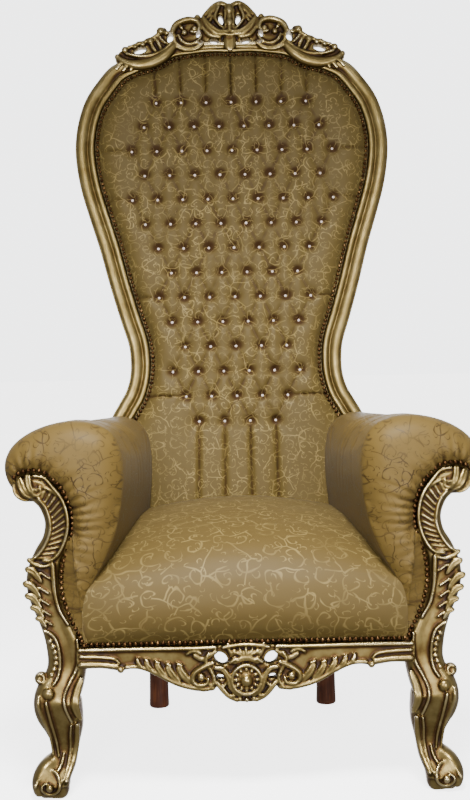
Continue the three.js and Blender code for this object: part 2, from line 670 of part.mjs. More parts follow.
function rearLegGeometry() {
  const height = railTop - railHeight - clearance;
  const top = rearLegTop / 2;
  const foot = rearLegFoot / 2;
  const profile = [
    new THREE.Vector2(0, 0), new THREE.Vector2(foot - rearLegFillet, 0), new THREE.Vector2(foot, rearLegFillet),
    new THREE.Vector2(top, height), new THREE.Vector2(0, height),
  ];
  const leg = new THREE.LatheGeometry(profile, 18);
  leg.rotateX(Math.PI / 2);
  return leg;
}

// Materials

const giltColour = new THREE.MeshStandardMaterial({ color: '#a88b4a', roughness: 0.35, metalness: 0.9 });
const fabricColour = new THREE.MeshStandardMaterial({ color: '#8f7a4c', roughness: 0.55, metalness: 0 });
const woodColour = new THREE.MeshStandardMaterial({ color: '#4a2413', roughness: 0.4, metalness: 0 });
const clothColour = new THREE.MeshStandardMaterial({ color: '#17140f', roughness: 0.9, metalness: 0 });

function piece(name, shape, material) {
  const geometry = shape.isBufferGeometry ? shape : geometryOf(shape);
  const mesh = new THREE.Mesh(geometry, material);
  mesh.name = name;
  return mesh;
}

// The throne

const throne = new THREE.Group();
const back = new THREE.Group();
back.position.copy(backOrigin);
back.rotation.x = -backLean;
throne.add(back);

const post = postSolid();
throne.add(piece('front_post_right', post, giltColour));
throne.add(piece('front_post_left', post.mirror([1, 0, 0]), giltColour));
throne.add(piece('apron', apronSolid(), giltColour));

const sideRail = sideRailSolid();
throne.add(piece('side_rail_right', sideRail, giltColour));
throne.add(piece('side_rail_left', sideRail.mirror([1, 0, 0]), giltColour));
const rearRail = piece('rear_rail', rearRailGeometry(), giltColour);
rearRail.position.set(0, rearRailFront + rearRailDepth / 2, railTop - railHeight / 2);
throne.add(rearRail);
throne.add(piece('seat_webbing', webbingSolid(), clothColour));
for (const [side, sign] of [['right', 1], ['left', -1]]) {
  const leg = piece(`rear_leg_${side}`, rearLegGeometry(), woodColour);
  leg.position.set(sign * rearLegSpread, rearRailFront + rearRailDepth - rearLegTop / 2 - rearLegInset, 0);
  throne.add(leg);
}

const stile = mainBody(stileSolid().subtract(belowRails), carvingGrain);
back.add(piece('back_stile_right', stile, giltColour));
back.add(piece('back_stile_left', stile.mirror([1, 0, 0]), giltColour));
back.add(piece('back_crest', crestSolid(), giltColour));
back.add(piece('back_pad', padSolid(), fabricColour));
back.add(piece('outside_back', panelSolid(), fabricColour));

const pocket = postPocket(clearance);
const padRoom = inThrone(padBody(clearance));
const arm = mainBody(armSolid().subtract(pocket).subtract(padRoom), paddingGrain);
throne.add(piece('arm_right', arm, fabricColour));
throne.add(piece('arm_left', arm.mirror([1, 0, 0]), fabricColour));

const armRoom = armSolid(clearance);
const behindFrame = inThrone(box([-600, -mouldingProud - clearance, -200], [600, 300, 900]));
const seatRoom = joined([...withMirror([armRoom, pocket]), padRoom, behindFrame]);
const seat = mainBody(seatSolid().subtract(seatRoom), paddingGrain);
throne.add(piece('seat', seat, fabricColour));

// The origin goes to the middle of the footprint.
const reach = new THREE.Box3().setFromObject(throne, true);
throne.position.set(0, -(reach.min.y + reach.max.y) / 2, 0);

export default throne;
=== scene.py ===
"""A high-backed throne in the rococo manner: a carved and gilded beech frame, a deep-buttoned back
with crystal buttons, rolled arms and a domed sprung seat, close-nailed along every edge."""
import math

import bmesh
import bpy
import numpy as np
from mathutils import Matrix, Vector, noise


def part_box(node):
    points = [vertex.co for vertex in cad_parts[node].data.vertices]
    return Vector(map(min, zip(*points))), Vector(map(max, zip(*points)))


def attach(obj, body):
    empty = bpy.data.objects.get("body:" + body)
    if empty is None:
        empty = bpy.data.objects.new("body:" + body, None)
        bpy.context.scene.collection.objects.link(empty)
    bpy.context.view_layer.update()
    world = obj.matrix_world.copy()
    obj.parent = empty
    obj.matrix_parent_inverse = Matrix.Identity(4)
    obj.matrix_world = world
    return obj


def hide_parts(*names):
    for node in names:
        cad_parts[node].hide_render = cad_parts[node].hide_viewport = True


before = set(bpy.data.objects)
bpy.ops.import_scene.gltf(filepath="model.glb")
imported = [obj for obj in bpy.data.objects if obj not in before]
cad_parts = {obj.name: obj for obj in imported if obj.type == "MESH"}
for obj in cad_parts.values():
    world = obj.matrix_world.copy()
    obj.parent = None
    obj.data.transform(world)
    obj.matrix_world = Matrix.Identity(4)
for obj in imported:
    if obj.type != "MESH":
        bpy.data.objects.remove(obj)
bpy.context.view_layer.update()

# Front posts: each is one piece of carved beech, from the scrolled foot over the knee and the arm
# support to the scroll at its top. It is gessoed, gilded with gold leaf and toned with a brown
# patina, which stays in the hollows and is rubbed off the high places.
POST_SPREAD = 391  # mm from the middle of the throne to the middle of a foot
POST_GRAIN = 1.8  # mm, the finest cut of the carving
FLAT_END = 8  # a face with more corners than this closes the end of a piece
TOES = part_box("rear_rail")[0].y - 0.588  # the plane of the toes, in the frame's metres


def place(points):
    """Millimetres, measured back from the toes, as metres in the frame."""
    return np.asarray(points, float) * 0.001 + (0, TOES, 0)


def smooth(rows, steps):
    """A Catmull-Rom curve through rows of numbers."""
    rows = np.asarray(rows, float)
    full = np.vstack([rows[:1], rows, rows[-1:]])
    t = np.arange(steps)[:, None] / steps
    made = []
    for p0, p1, p2, p3 in zip(full, full[1:], full[2:], full[3:]):
        bend = (2 * p0 - 5 * p1 + 4 * p2 - p3) * t**2 + (3 * p1 - p0 - 3 * p2 + p3) * t**3
        made.append((2 * p1 + (p2 - p0) * t + bend) / 2)
    return np.vstack(made + [rows[-1:]])


def across(path):
    """Directions square to a path of [x, z], pointing to +x where it climbs."""
    step = np.gradient(path, axis=0)
    side = np.stack([step[:, 1], -step[:, 0]], 1)
    return side / np.linalg.norm(side, axis=1, keepdims=True)


def skin(rings):
    """A closed shell over rings of points."""
    rings = np.asarray(rings, float)
    count, sides, _ = rings.shape
    faces = [tuple(range(sides))[::-1], tuple((count - 1) * sides + i for i in range(sides))]
    for r in range(count - 1):
        for i in range(sides):
            j = (i + 1) % sides
            faces.append((r * sides + i, r * sides + j, (r + 1) * sides + j, (r + 1) * sides + i))
    return rings.reshape(-1, 3), faces


def rod(rows, deep, ground, lift=0.0, groove=0.0, steps=5):
    """A carved strand: rows of [x, z, half width], its middle a lift in front of the ground."""
    sides = 12
    rows = smooth(rows, steps)
    path, half = rows[:, :2], rows[:, 2]
    side = across(path)
    along = np.stack([-side[:, 1], side[:, 0]], 1)
    path = np.vstack([path[:1] - 0.7 * half[0] * along[:1], path, path[-1:] + 0.7 * half[-1] * along[-1:]])
    side = np.vstack([side[:1], side, side[-1:]])
    half = np.concatenate([[0.4 * half[0]], half, [0.4 * half[-1]]])
    angle = 2 * np.pi * np.arange(sides) / sides
    u, v = np.cos(angle), np.sin(angle)
    v = np.where(v < 0, v * (1 - groove * np.exp(-((u / 0.45) ** 2))), v)
    relief = deep * (0.45 + 0.55 * half / half.max())
    level = ground(path[:, 0], path[:, 1]) - lift
    rings = np.empty((len(path), sides, 3))
    rings[:, :, 0] = path[:, :1] + side[:, :1] * half[:, None] * u
    rings[:, :, 1] = level[:, None] + relief[:, None] * v
    rings[:, :, 2] = path[:, 1:] + side[:, 1:] * half[:, None] * u
    return skin(rings)


def ball(x, z, radius, ground, lift=0.0, flat=1.0):
    """A boss on the ground; flat is its depth as a share of its radius."""
    polar = np.linspace(0.02, np.pi - 0.02, 9)[:, None]
    turn = 2 * np.pi * np.arange(14) / 14
    level = ground(np.array([x]), np.array([z]))[0] - lift
    rings = np.empty((9, 14, 3))
    rings[:, :, 0] = x + radius * np.sin(polar) * np.cos(turn)
    rings[:, :, 1] = level - flat * radius * np.cos(polar)
    rings[:, :, 2] = z + radius * np.sin(polar) * np.sin(turn)
    return skin(rings)


def spiral(x, z, outer, inner, turns, start, half, deep, ground, lift):
    """A strand that winds in from the outer radius, starting at the angle start."""
    t = np.linspace(0, 1, max(6, int(9 * abs(turns))))
    angle = start + 2 * np.pi * turns * t
    radius = outer + (inner - outer) * t
    rows = np.stack([x + radius * np.cos(angle), z + radius * np.sin(angle), half * (1 - 0.45 * t)], 1)
    return rod(rows, deep, ground, lift, steps=3)


def lengths(path):
    """How far along a path each of its points lies."""
    return np.concatenate([[0], np.cumsum(np.linalg.norm(np.diff(path, axis=0), axis=1))])


def points_at(path, wanted):
    """The points of a path at the wanted distances along it."""
    run = lengths(path)
    return np.stack([np.interp(wanted, run, column) for column in path.T], 1)


def ribs(first, second, count, half, deep, ground):
    """Short strands from one path of [x, z] to another."""
    share = (np.arange(count) + 0.5) / count
    ends = []
    for path in (first, second):
        path = smooth(path, 6)
        ends.append(points_at(path, share * lengths(path)[-1]))
    strands = [[(*a, half), (*((a + b) / 2), 1.15 * half), (*b, half)] for a, b in zip(*ends)]
    return [rod(strand, deep, ground) for strand in strands]


def grown(x, z, size, rows):
    """Rows of [x, z, half width] set out from a spot, at a size."""
    return [(x + out_by * size, z + up_by * size, half * size) for out_by, up_by, half in rows]


def joined(shells):
    """Several shells as one list of points and one of faces."""
    points, faces, start = [], [], 0
    for shell_points, shell_faces in shells:
        points.append(shell_points)
        faces += [tuple(start + i for i in face) for face in shell_faces]
        start += len(shell_points)
    return np.vstack(points), faces


def both_halves(shells):
    """The shells and their mirror images in x."""
    return [*shells, *((points * (-1, 1, 1), [face[::-1] for face in faces]) for points, faces in shells)]


def new_piece(name, points, faces, uv=None):
    """A smooth-shaded object at the origin, from points in millimetres behind the toes."""
    mesh = bpy.data.meshes.new(name)
    mesh.from_pydata(place(points).tolist(), [], faces)
    if uv is not None:
        corners = np.empty(len(mesh.loops), int)
        mesh.loops.foreach_get("vertex_index", corners)
        mesh.uv_layers.new(name="cloth").data.foreach_set("uv", np.asarray(uv, float)[corners].ravel())
    mesh.shade_smooth()
    piece = bpy.data.objects.new(name, mesh)
    bpy.context.scene.collection.objects.link(piece)
    return piece


def plain_mesh(piece):
    """Turns a piece's modifiers into plain mesh."""
    seen = piece.evaluated_get(bpy.context.evaluated_depsgraph_get())
    made = bpy.data.meshes.new_from_object(seen)
    old, name = piece.data, piece.name
    piece.modifiers.clear()
    piece.data = made
    bpy.data.meshes.remove(old)
    made.name = name
    made.shade_smooth()
    return piece


def carve(name, shells, grain):
    """Shells run together into one solid with the edges softened, as under gesso."""
    piece = new_piece(name, *joined(shells))
    cut = piece.modifiers.new("cut", "REMESH")
    cut.mode = "VOXEL"
    cut.voxel_size = grain * 0.001
    gesso = piece.modifiers.new("gesso", "SMOOTH")
    gesso.factor = 0.5
    gesso.iterations = 2
    return plain_mesh(piece)


def turn_outwards(piece):
    """Points the faces outwards and keeps the corners crisp."""
    work = bmesh.new()
    work.from_mesh(piece.data)
    bmesh.ops.recalc_face_normals(work, faces=work.faces)
    work.to_mesh(piece.data)
    work.free()
    piece.data.set_sharp_from_angle(angle=math.radians(65))
    return piece


def other_hand(piece, name):
    """The mirror image of a piece, for the other side."""
    twin = piece.copy()
    twin.data = piece.data.copy()
    twin.name = twin.data.name = name
    twin.data.transform(Matrix.Diagonal((-1, 1, 1, 1)))
    twin.data.flip_normals()
    bpy.context.scene.collection.objects.link(twin)
    return twin


def mark_hollows(piece, reach=1.2, passes=(2, 8), painted_shade=0.0):
    """Stores how deep each point lies under its surroundings, from -1 on an edge to 1 in a hollow.
    The reach is the depth in millimetres that counts as 1, and the painted shade of cloth, the last argument,
    is added to it."""
    mesh = piece.data
    count = len(mesh.vertices)
    points, normals = np.empty(count * 3), np.empty(count * 3)
    mesh.vertices.foreach_get("co", points)
    mesh.vertex_normals.foreach_get("vector", normals)
    points, normals = points.reshape(-1, 3), normals.reshape(-1, 3)
    edges = np.empty(len(mesh.edges) * 2, int)
    mesh.edges.foreach_get("vertices", edges)
    a, b = edges.reshape(-1, 2).T
    shared = np.maximum(np.bincount(edges, minlength=count), 1)

    def around(values):
        sums = [np.bincount(a, v[b], count) + np.bincount(b, v[a], count) for v in values.T]
        return np.stack(sums, 1) / shared[:, None]

    deep, level, done = np.zeros(count), points, 0
    for wanted in passes:
        while done < wanted:
            level = around(level)
            done += 1
        deep += ((level - points) * normals).sum(1) * 1000 / (reach * len(passes))
    # the points of a flat end are neither hollow nor edge
    for face in mesh.polygons:
        if face.loop_total > FLAT_END:
            deep[list(face.vertices)] = 0
    # painted shade for cloth is added to the depth here; on gilding this depth places the patina
    deep = around(np.clip(deep, -1, 1)[:, None])[:, 0] + painted_shade
    mark = mesh.attributes.new("hollow", "FLOAT", "POINT")
    mark.data.foreach_set("value", deep.astype(np.float32))
    return piece


def linear(colour):
    """A hex sRGB colour as linear red, green, blue and alpha."""
    parts = [int(colour[i:i + 2], 16) / 255 for i in (1, 3, 5)]
    return (*(p / 12.92 if p <= 0.04045 else ((p + 0.055) / 1.055) ** 2.4 for p in parts), 1.0)


def add(tree, kind, inputs=None, stops=None, **settings):
    """Adds a node with its settings, its inputs and links, and a ramp's stops."""
    made = tree.nodes.new(kind)
    for name, value in settings.items():
        setattr(made, name, value)
    for name, value in (inputs or {}).items():
        if isinstance(value, bpy.types.NodeSocket):
            tree.links.new(value, made.inputs[name])
        else:
            made.inputs[name].default_value = value
    for i, (at, colour) in enumerate(stops or []):
        stop = made.color_ramp.elements[i] if i < 2 else made.color_ramp.elements.new(at)
        stop.position = at
        stop.color = linear(colour)
    return made


def worked_out(tree, kind, *values):
    """One sum over sockets or numbers."""
    return add(tree, "ShaderNodeMath", dict(enumerate(values)), operation=kind).outputs[0]


def vectors(tree, kind, inputs):
    """One sum over vectors."""
    return add(tree, "ShaderNodeVectorMath", inputs, operation=kind).outputs[0]


def clouds(tree, at, size, detail=2.0, roughness=0.5):
    """Soft noise whose patches measure size mm."""
    return add(tree, "ShaderNodeTexNoise", {"Vector": at, "Scale": 1000 / size, "Detail": detail,
                                            "Roughness": roughness}).outputs["Fac"]


def ranged(tree, value, low, high, to_low, to_high):
    """A value carried from one range to another and kept inside it."""
    return add(tree, "ShaderNodeMapRange", {"Value": value, "From Min": low, "From Max": high,
                                            "To Min": to_low, "To Max": to_high}).outputs[0]


def mixed(tree, share, first, second, blend="MIX"):
    """Two colours mixed by a share."""
    return add(tree, "ShaderNodeMix", {0: share, 6: first, 7: second}, data_type="RGBA",
               blend_type=blend).outputs[2]


def ramp(tree, value, stops):
    """A value as a colour of a ramp."""
    return add(tree, "ShaderNodeValToRGB", {"Fac": value}, stops).outputs[0]


def bumps(tree, height, strength, depth):
    """Fine relief, depth mm deep."""
    return add(tree, "ShaderNodeBump", {"Height": height, "Strength": strength,
                                        "Distance": depth / 1000}).outputs[0]


def new_finish(name):
    """An empty material and its node tree."""
    finish = bpy.data.materials.new(name)
    finish.use_nodes = True
    finish.node_tree.nodes.clear()
    return finish, finish.node_tree


def coat(finish, inputs):
    """Ends a material with one shader."""
    shader = add(finish.node_tree, "ShaderNodeBsdfPrincipled", inputs)
    add(finish.node_tree, "ShaderNodeOutputMaterial", {"Surface": shader.outputs[0]})
    return finish


def gold_leaf():
    """Gold leaf over gesso, toned with patina: a soft metal shine, brown in the hollows, where it was not
    rubbed back, and worn pale on the edges. The faces turned sideways are painted brown as painted shade."""
    finish, tree = new_finish("toned_gold_leaf")
    at = add(tree, "ShaderNodeTexCoord").outputs["Object"]
    hollow = add(tree, "ShaderNodeAttribute", attribute_name="hollow").outputs["Fac"]
    patch = clouds(tree, at, 38, 5.0, 0.6)
    uneven = worked_out(tree, "ADD", patch, -0.5)
    worn = worked_out(tree, "MULTIPLY_ADD", hollow, 0.5, 0.5)
    depth = worked_out(tree, "MULTIPLY_ADD", uneven, 0.35, worn)
    leaf = ramp(tree, depth, [(0.1, "#dccda4"), (0.3, "#aa9766"), (0.5, "#8d7c50"), (0.66, "#573f22"),
                              (0.84, "#2a160c")])
    toned = mixed(tree, patch, leaf, linear("#ada07a"), "MULTIPLY")
    # painted shade: faces turned sideways are mixed towards a dark brown, as if they lay in shade
    facing = add(tree, "ShaderNodeSeparateXYZ", {0: add(tree, "ShaderNodeNewGeometry").outputs["Normal"]})
    sideways = worked_out(tree, "ABSOLUTE", facing.outputs[0])
    brown = mixed(tree, ranged(tree, sideways, 0.75, 0.98, 0, 0.75), toned, linear("#4a2a14"))
    return coat(finish, {
        "Base Color": brown, "Roughness": ranged(tree, depth, 0.2, 0.85, 0.26, 0.6),
        "Metallic": ranged(tree, depth, 0.6, 0.95, 1.0, 0.35),
        "Normal": bumps(tree, clouds(tree, at, 5, 3.0), 0.12, 0.6)})


gilding = gold_leaf()


def finish_gilt(piece, node, reach=1.2):
    """Gilds a piece and sets it in its node's place. The patina fills hollows of the depth reach."""
    mark_hollows(piece, reach)
    piece.data.materials.clear()
    piece.data.materials.append(gilding)
    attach(piece, "root")
    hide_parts(node)


# Rows of [out from the foot, height, half width, back from the toes, half depth].
post_shape = [
    (0, 0, 25, 37, 25), (0, 11, 33, 37, 33), (4, 27, 38, 33, 38), (-2, 45, 37, 39, 37), (-18, 68, 28, 54, 28),
    (-23, 97, 28, 60, 28), (-21, 136, 40, 58, 39), (-13, 172, 48, 52, 46), (-11, 198, 46, 49, 46),
    (-24, 230, 41, 60, 41), (-30, 262, 39, 66, 40), (-26, 305, 38, 64, 38), (-10, 350, 33, 62, 34),
    (9, 405, 35, 60, 32), (11, 442, 35, 59, 32), (1, 478, 31, 58, 31), (-15, 512, 28, 58, 30),
    (-21, 552, 28, 57, 30), (-8, 592, 28, 56, 31), (16, 616, 27, 54, 32), (36, 620, 25, 54, 32),
]
post_rows = smooth(post_shape, 6)
post_rows[:, 0] += POST_SPREAD
HEAD = (POST_SPREAD + 34, 620)  # middle of the scroll at the top
HEAD_RADIUS = 30


def post_face(x, z):
    """The ground of the post's carving, back from the toes."""
    climb = post_rows[:-12]
    return np.interp(z, climb[:, 1], climb[:, 3] - 0.84 * climb[:, 4]) + 0 * x


def head_face(x, z):
    """The ground of the scroll at the top of the post."""
    return 26 + 0.012 * ((x - HEAD[0]) ** 2 + (z - HEAD[1]) ** 2)


def flat_ground(level):
    """The ground of carving on a board whose face lies at one level."""
    return lambda x, z: np.full(np.shape(x), float(level))


def post_body():
    """The post's plain body: a hollow channel down its face and a shallow groove down each side."""
    angle = 2 * np.pi * np.arange(36) / 36
    u = np.sign(np.cos(angle)) * np.abs(np.cos(angle)) ** 0.75
    v = np.sign(np.sin(angle)) * np.abs(np.sin(angle)) ** 0.75
    v = np.where(v < 0, v * (1 - 0.2 * np.exp(-((u / 0.55) ** 4))), v)
    u = u * (1 - 0.07 * np.exp(-(((v - 0.25) / 0.16) ** 2)))
    side = across(post_rows[:, :2])
    x, z, half, y, deep = (post_rows[:, k, None] for k in range(5))
    rings = [x + side[:, :1] * half * u, y + deep * v, z + side[:, 1:] * half * u]
    return skin(np.stack(rings, 2))


def out(rows):
    """Rows measured out from the foot, as the throne's x."""
    return [(POST_SPREAD + row[0], *row[1:]) for row in rows]


outer_rim = [(23, 645), (8, 643), (-2, 637), (-14, 622), (-29, 602), (-38, 580), (-42, 554), (-40, 532),
             (-33, 509), (-22, 489), (-8, 477), (8, 476)]
inner_rim = [(15, 600), (3, 585), (-5, 563), (-7, 541), (-3, 522), (7, 502), (20, 486), (33, 477)]
recess_rim = [(11, 335), (0, 330), (-11, 319), (-18, 298), (-20, 267), (-15, 242), (-6, 228)]


def post_carving():
    """The carving of the right post, from the head down to the foot."""
    made = []

    def cut(rows, deep, lift=1.5, groove=0.0, face=post_face):
        made.append(rod(out(rows), deep, face, lift, groove))

    # the scroll at the top: three shell strands over a boss
    made.append(ball(*HEAD, HEAD_RADIUS, head_face, -25, 0.95))
    for strand in ([(62, 628, 6), (58, 612, 7), (47, 601, 6), (36, 596, 3)],
                   [(54, 642, 6), (47, 624, 8), (38, 609, 7), (27, 603, 4)],
                   [(36, 649, 6), (33, 630, 7), (27, 614, 6), (18, 606, 3)]):
        cut(strand, 7, 3, 0.5, head_face)
    made.append(spiral(POST_SPREAD + 20, 614, 11, 3, 1.1, 2.4, 4, 5, head_face, 4))
    cut([(4, 622, 3), (-12, 614, 4), (-30, 600, 2)], 4)
    # the fluted C-scroll between two rims
    cut([(*p, 4) for p in outer_rim], 5, 3)
    cut([(*p, 3.6) for p in inner_rim], 5, 3)
    made.extend(ribs(out(outer_rim[2:-1]), out(inner_rim), 13, 2.6, 4, post_face))
    cut([(38, 478, 5), (26, 469, 5), (10, 464, 4), (-8, 468, 3)], 6, 2)
    # acanthus down the arm support
    cut([(-10, 468, 5), (-11, 443, 5), (-12, 420, 4.5), (-15, 398, 4), (-22, 373, 3.4), (-38, 345, 2.4)],
        5, 3)
    for x, z, size in ((41, 459, 1.0), (46, 430, 1.05), (43, 406, 1.0), (34, 382, 0.85), (25, 360, 0.7)):
        cut(grown(x, z, size, [(0, 0, 7), (-13, -6, 8), (-27, -25, 4)]), 8, 2, 0.35)
        cut([(x - 26 * size, z - 8 * size, 2.4), (x - 44 * size, z - 20 * size, 2)], 3, 2)
    # the hollow with its string of beads
    cut([(*p, 3.6) for p in recess_rim], 6, 2)
    for i in range(7):
        x = -1 - 11 * math.sin(0.5 * i)
        made.append(ball(POST_SPREAD + x, 313 - 11.3 * i, 5.6 - 0.15 * i, post_face, 1))
    made.append(ball(POST_SPREAD + 20, 237, 14, post_face, -12))
    made.append(spiral(POST_SPREAD + 20, 238, 10, 4, 0.9, 1.0, 3.2, 4, post_face, 1))
    made.append(ball(POST_SPREAD + 3, 211, 12, post_face, 1, 0.8))
    # the knee and the leg: two flutes, a channel edge and the shell band on the inner side
    cut([(22, 207, 4), (22, 185, 4), (14, 157, 3.6), (4, 124, 3.2), (-1, 82, 2.6)], 5, 1)
    cut([(7, 196, 3.6), (0, 156, 3.4), (-8, 114, 3), (-12, 79, 2.2)], 4.5, 2)
    cut([(-55, 315, 3.2), (-56, 285, 3.4), (-52, 257, 3.4), (-38, 230, 3.4), (-29, 207, 3.4), (-31, 184, 3.4),
         (-42, 153, 3)], 5, 2)
    cut([(-61, 236, 6), (-54, 215, 8), (-50, 190, 9), (-55, 168, 7), (-60, 158, 4)], 7, -2, 0.3)
    cut([(-52, 146, 5), (-48, 104, 6), (-40, 69, 6), (-30, 40, 5)], 6, -1)
    cut([(-40, 146, 2.4), (-37, 123, 2.8), (-35, 88, 2.8), (-27, 52, 2.6), (-20, 36, 2)], 4, 1)
    # the scrolled foot
    cut([(31, 31, 4), (21, 49, 4.2), (5, 57, 4), (-10, 51, 3.8), (-17, 37, 3.6), (-15, 23, 3.4),
         (-5, 14, 3.2), (8, 13, 3), (17, 22, 2.8), (17, 32, 2.4), (8, 37, 2)], 5, 2)
    made.append(ball(POST_SPREAD + 3, 27, 8, post_face, 1))
    cut([(-22, 84, 2.6), (-18, 66, 3.4), (-10, 52, 3)], 4, 1)
    return made


post_right = carve("carved_post_right", [post_body(), *post_carving()], POST_GRAIN)
post_left = other_hand(post_right, "carved_post_left")
finish_gilt(post_right, "front_post_right")
finish_gilt(post_left, "front_post_left")

# Apron: the front rail, sawn to its wavy lower edge, pierced twice at each side of the middle and
# carved with a shell cartouche, scrolls and rows of acanthus. It is gilded as the posts are.
RAIL_TOP = 300  # mm above the floor
APRON_FACE = 22  # mm, front of the plain board behind the toes
APRON_BACK = 44  # mm, its rear
APRON_GRAIN = 1.8


def board(outline, holes, low, high, bevel):
    """A sawn board with holes: outlines of [x, z], between two depths, its edges bevelled."""
    drawing = bpy.data.curves.new("drawing", "CURVE")
    drawing.dimensions = "2D"
    drawing.fill_mode = "BOTH"
    for ring in (outline, *holes):
        line = drawing.splines.new("POLY")
        line.points.add(len(ring) - 1)
        line.points.foreach_set("co", np.array([(x, z, 0, 1) for x, z in ring], float).ravel())
        line.use_cyclic_u = True
    drawing.extrude = (high - low) / 2 - bevel
    drawing.bevel_depth = bevel
    drawing.offset = -bevel
    sketch = bpy.data.objects.new("drawing", drawing)
    bpy.context.scene.collection.objects.link(sketch)
    sawn = bpy.data.meshes.new_from_object(sketch.evaluated_get(bpy.context.evaluated_depsgraph_get()))
    points = np.array([v.co for v in sawn.vertices])
    faces = [tuple(face.vertices) for face in sawn.polygons]
    bpy.data.objects.remove(sketch)
    return np.stack([points[:, 0], (low + high) / 2 + points[:, 2], points[:, 1]], 1), faces


def oval(x, z, wide, high, turn, side=1):
    """A ring of [x, z] round a centre."""
    angle = np.linspace(0, 2 * np.pi, 14, endpoint=False)
    c, s = math.cos(side * turn), math.sin(side * turn)
    u, v = wide * np.cos(angle), high * np.sin(angle)
    return np.stack([side * x + u * c - v * s, z + u * s + v * c], 1)


def both_ways(right):
    """A closed outline from its right half, which runs from the middle round to the middle."""
    right = np.asarray(right, float)
    return np.vstack([right, right[-2:0:-1] * (-1, 1)])


apron_edge = [(0, 184), (16, 185), (32, 192), (46, 206), (56, 220), (63, 214), (84, 208), (110, 213),
              (143, 232), (178, 250), (214, 257), (253, 253), (292, 258), (338, 256)]
apron_holes = [oval(50, 273, 15, 11, 0.75, side) for side in (-1, 1)]
apron_holes += [oval(52, 236, 8, 4.5, 0.2, side) for side in (-1, 1)]
apron_ground = flat_ground(APRON_FACE)


def apron_carving():
    """The right half of the apron's carving and the cartouche in its middle."""
    right, middle = [], []

    def cut(rows, deep=8, lift=1.0, groove=0.0, onto=right):
        onto.append(rod(rows, deep, apron_ground, lift, groove))

    # mouldings along the top and the wavy lower edge
    cut([(60, 296, 4), (110, 295, 4.5), (220, 296, 4.5), (332, 296, 4.5)], 6)
    cut([(330, 267, 6.5), (290, 266, 6.5), (256, 262, 6)], 8)
    cut([(330, 283, 3.6), (290, 281, 3.6), (262, 277, 3.2), (252, 268, 3)], 5)
    cut([(240, 261, 4.5), (211, 260, 5), (180, 248, 5.5), (145, 229, 6), (117, 219, 6), (88, 214, 6),
         (66, 215, 5.5)], 8)
    right.append(ball(250, 255, 7, apron_ground, 1))
    right.append(ball(261, 260, 4.6, apron_ground, 1))
    # five acanthus lobes that grow towards the volute
    for x, z, size in ((134, 258, 1), (156, 259, 0.95), (178, 265, 0.85), (199, 270, 0.72), (217, 274, 0.55)):
        cut(grown(x, z, size, [(0, 0, 7), (-9, -16, 9), (-27, -36, 4)]), 9, 2, 0.35)
        cut(grown(x, z, size, [(3, 7, 3), (-6, 4, 3.4)]), 6, 2)
    # the volute and its leaf
    cut([(66, 266, 5.5), (87, 257, 6.4), (104, 245, 6), (106, 230, 5.6), (95, 221, 5.2), (80, 224, 4.6),
         (76, 234, 4)], 9, 2)
    right.append(ball(90, 237, 8.5, apron_ground, 3))
    cut([(74, 284, 4.6), (80, 270, 5.2), (71, 252, 5), (64, 234, 5), (72, 216, 5), (88, 212, 5)], 8)
    cut([(103, 281, 4.6), (88, 273, 5.2), (74, 279, 5), (60, 288, 4.6)], 7, 1, 0.3)
    cut([(118, 284, 3), (104, 290, 4.4), (90, 285, 4)], 6)
    # side leaves of the cartouche
    cut([(62, 256, 4.6), (46, 252, 6), (36, 236, 6.4), (30, 215, 5.8), (14, 200, 4.4)], 10, 3, 0.3)
    cut([(59, 226, 5), (48, 212, 6), (35, 198, 5.4), (18, 189, 4.4)], 9, 2, 0.3)
    cut([(40, 226, 3), (46, 219, 3.4), (54, 222, 3)], 6, 2)
    right.append(ball(23, 286, 7, apron_ground, 2))
    right.append(ball(73, 222, 5, apron_ground, 3))
    cut([(36, 303, 4), (34, 292, 4.4), (28, 280, 4.4)], 7)
    cut([(14, 268, 4), (22, 272, 5), (32, 266, 4.4)], 8, 3)
    # the cartouche: a ringed boss with beads, a palmette above and a row of beads below
    middle.append(ball(0, 231, 34, apron_ground, -8, 0.55))
    ring = np.linspace(0, 2 * np.pi, 25)[:-1]
    cut(np.stack([29 * np.cos(ring), 231 + 29 * np.sin(ring), 0 * ring + 4.5], 1), 7, 5, 0, middle)
    cut([(29, 231 - 4, 4.5), (29, 231, 4.5), (29, 231 + 4, 4.5)], 7, 5, 0, middle)
    for angle in ring[::2]:
        middle.append(ball(20.5 * math.cos(angle), 231 + 20.5 * math.sin(angle), 3.4, apron_ground, 9))
    middle.append(ball(0, 230, 12.5, apron_ground, 7))
    for x, z in ((0, 190), (14, 192), (27, 199), (-14, 192), (-27, 199)):
        middle.append(ball(x, z, 5.4, apron_ground, 4))
    cut([(-24, 266, 5), (-12, 272, 6), (0, 274, 6), (12, 272, 6), (24, 266, 5)], 9, 3, 0.3, middle)
    for lean in (-1, -0.5, 0, 0.5, 1):
        drop = abs(lean)
        cut([(4 * lean, 276, 3.6), (14 * lean, 286 - 3 * drop, 4.4), (26 * lean, 294 - 6 * drop, 3)],
            7, 2, 0, middle)
    cut([(-46, 296, 4), (-20, 300, 4.6), (0, 301, 4.6), (20, 300, 4.6), (46, 296, 4)], 7, 2, 0, middle)
    return [*both_halves(right), *middle]


lower_edge = smooth(apron_edge, 5)
apron_outline = both_ways([*lower_edge, (338, RAIL_TOP), (0, RAIL_TOP)])
apron_board = board(apron_outline, apron_holes, APRON_FACE, APRON_BACK, 2)
apron = carve("carved_apron", [apron_board, *apron_carving()], APRON_GRAIN)
finish_gilt(apron, "apron")

# Back frame: two steam-bent stiles and the crest rail, run with one moulding of a broad round, a
# hollow and a bead, and gilded. They lean back together, so they are drawn in the back's own measure:
# across, behind the face, and up the lean.
LEAN = math.radians(6.56)
BACK_HEIGHT = 1485  # mm up the lean
WAIST, WIDEST, FLARE = 238, 370, 300  # mm, middle of the moulding at three heights
FRAME_WIDTH = 50
FRAME_DEPTH = 40
PROUD = 14  # mm that the moulding stands before the face
BACK_FOOT = 580  # mm behind the toes
TOUCH = 0.8  # mm between pieces


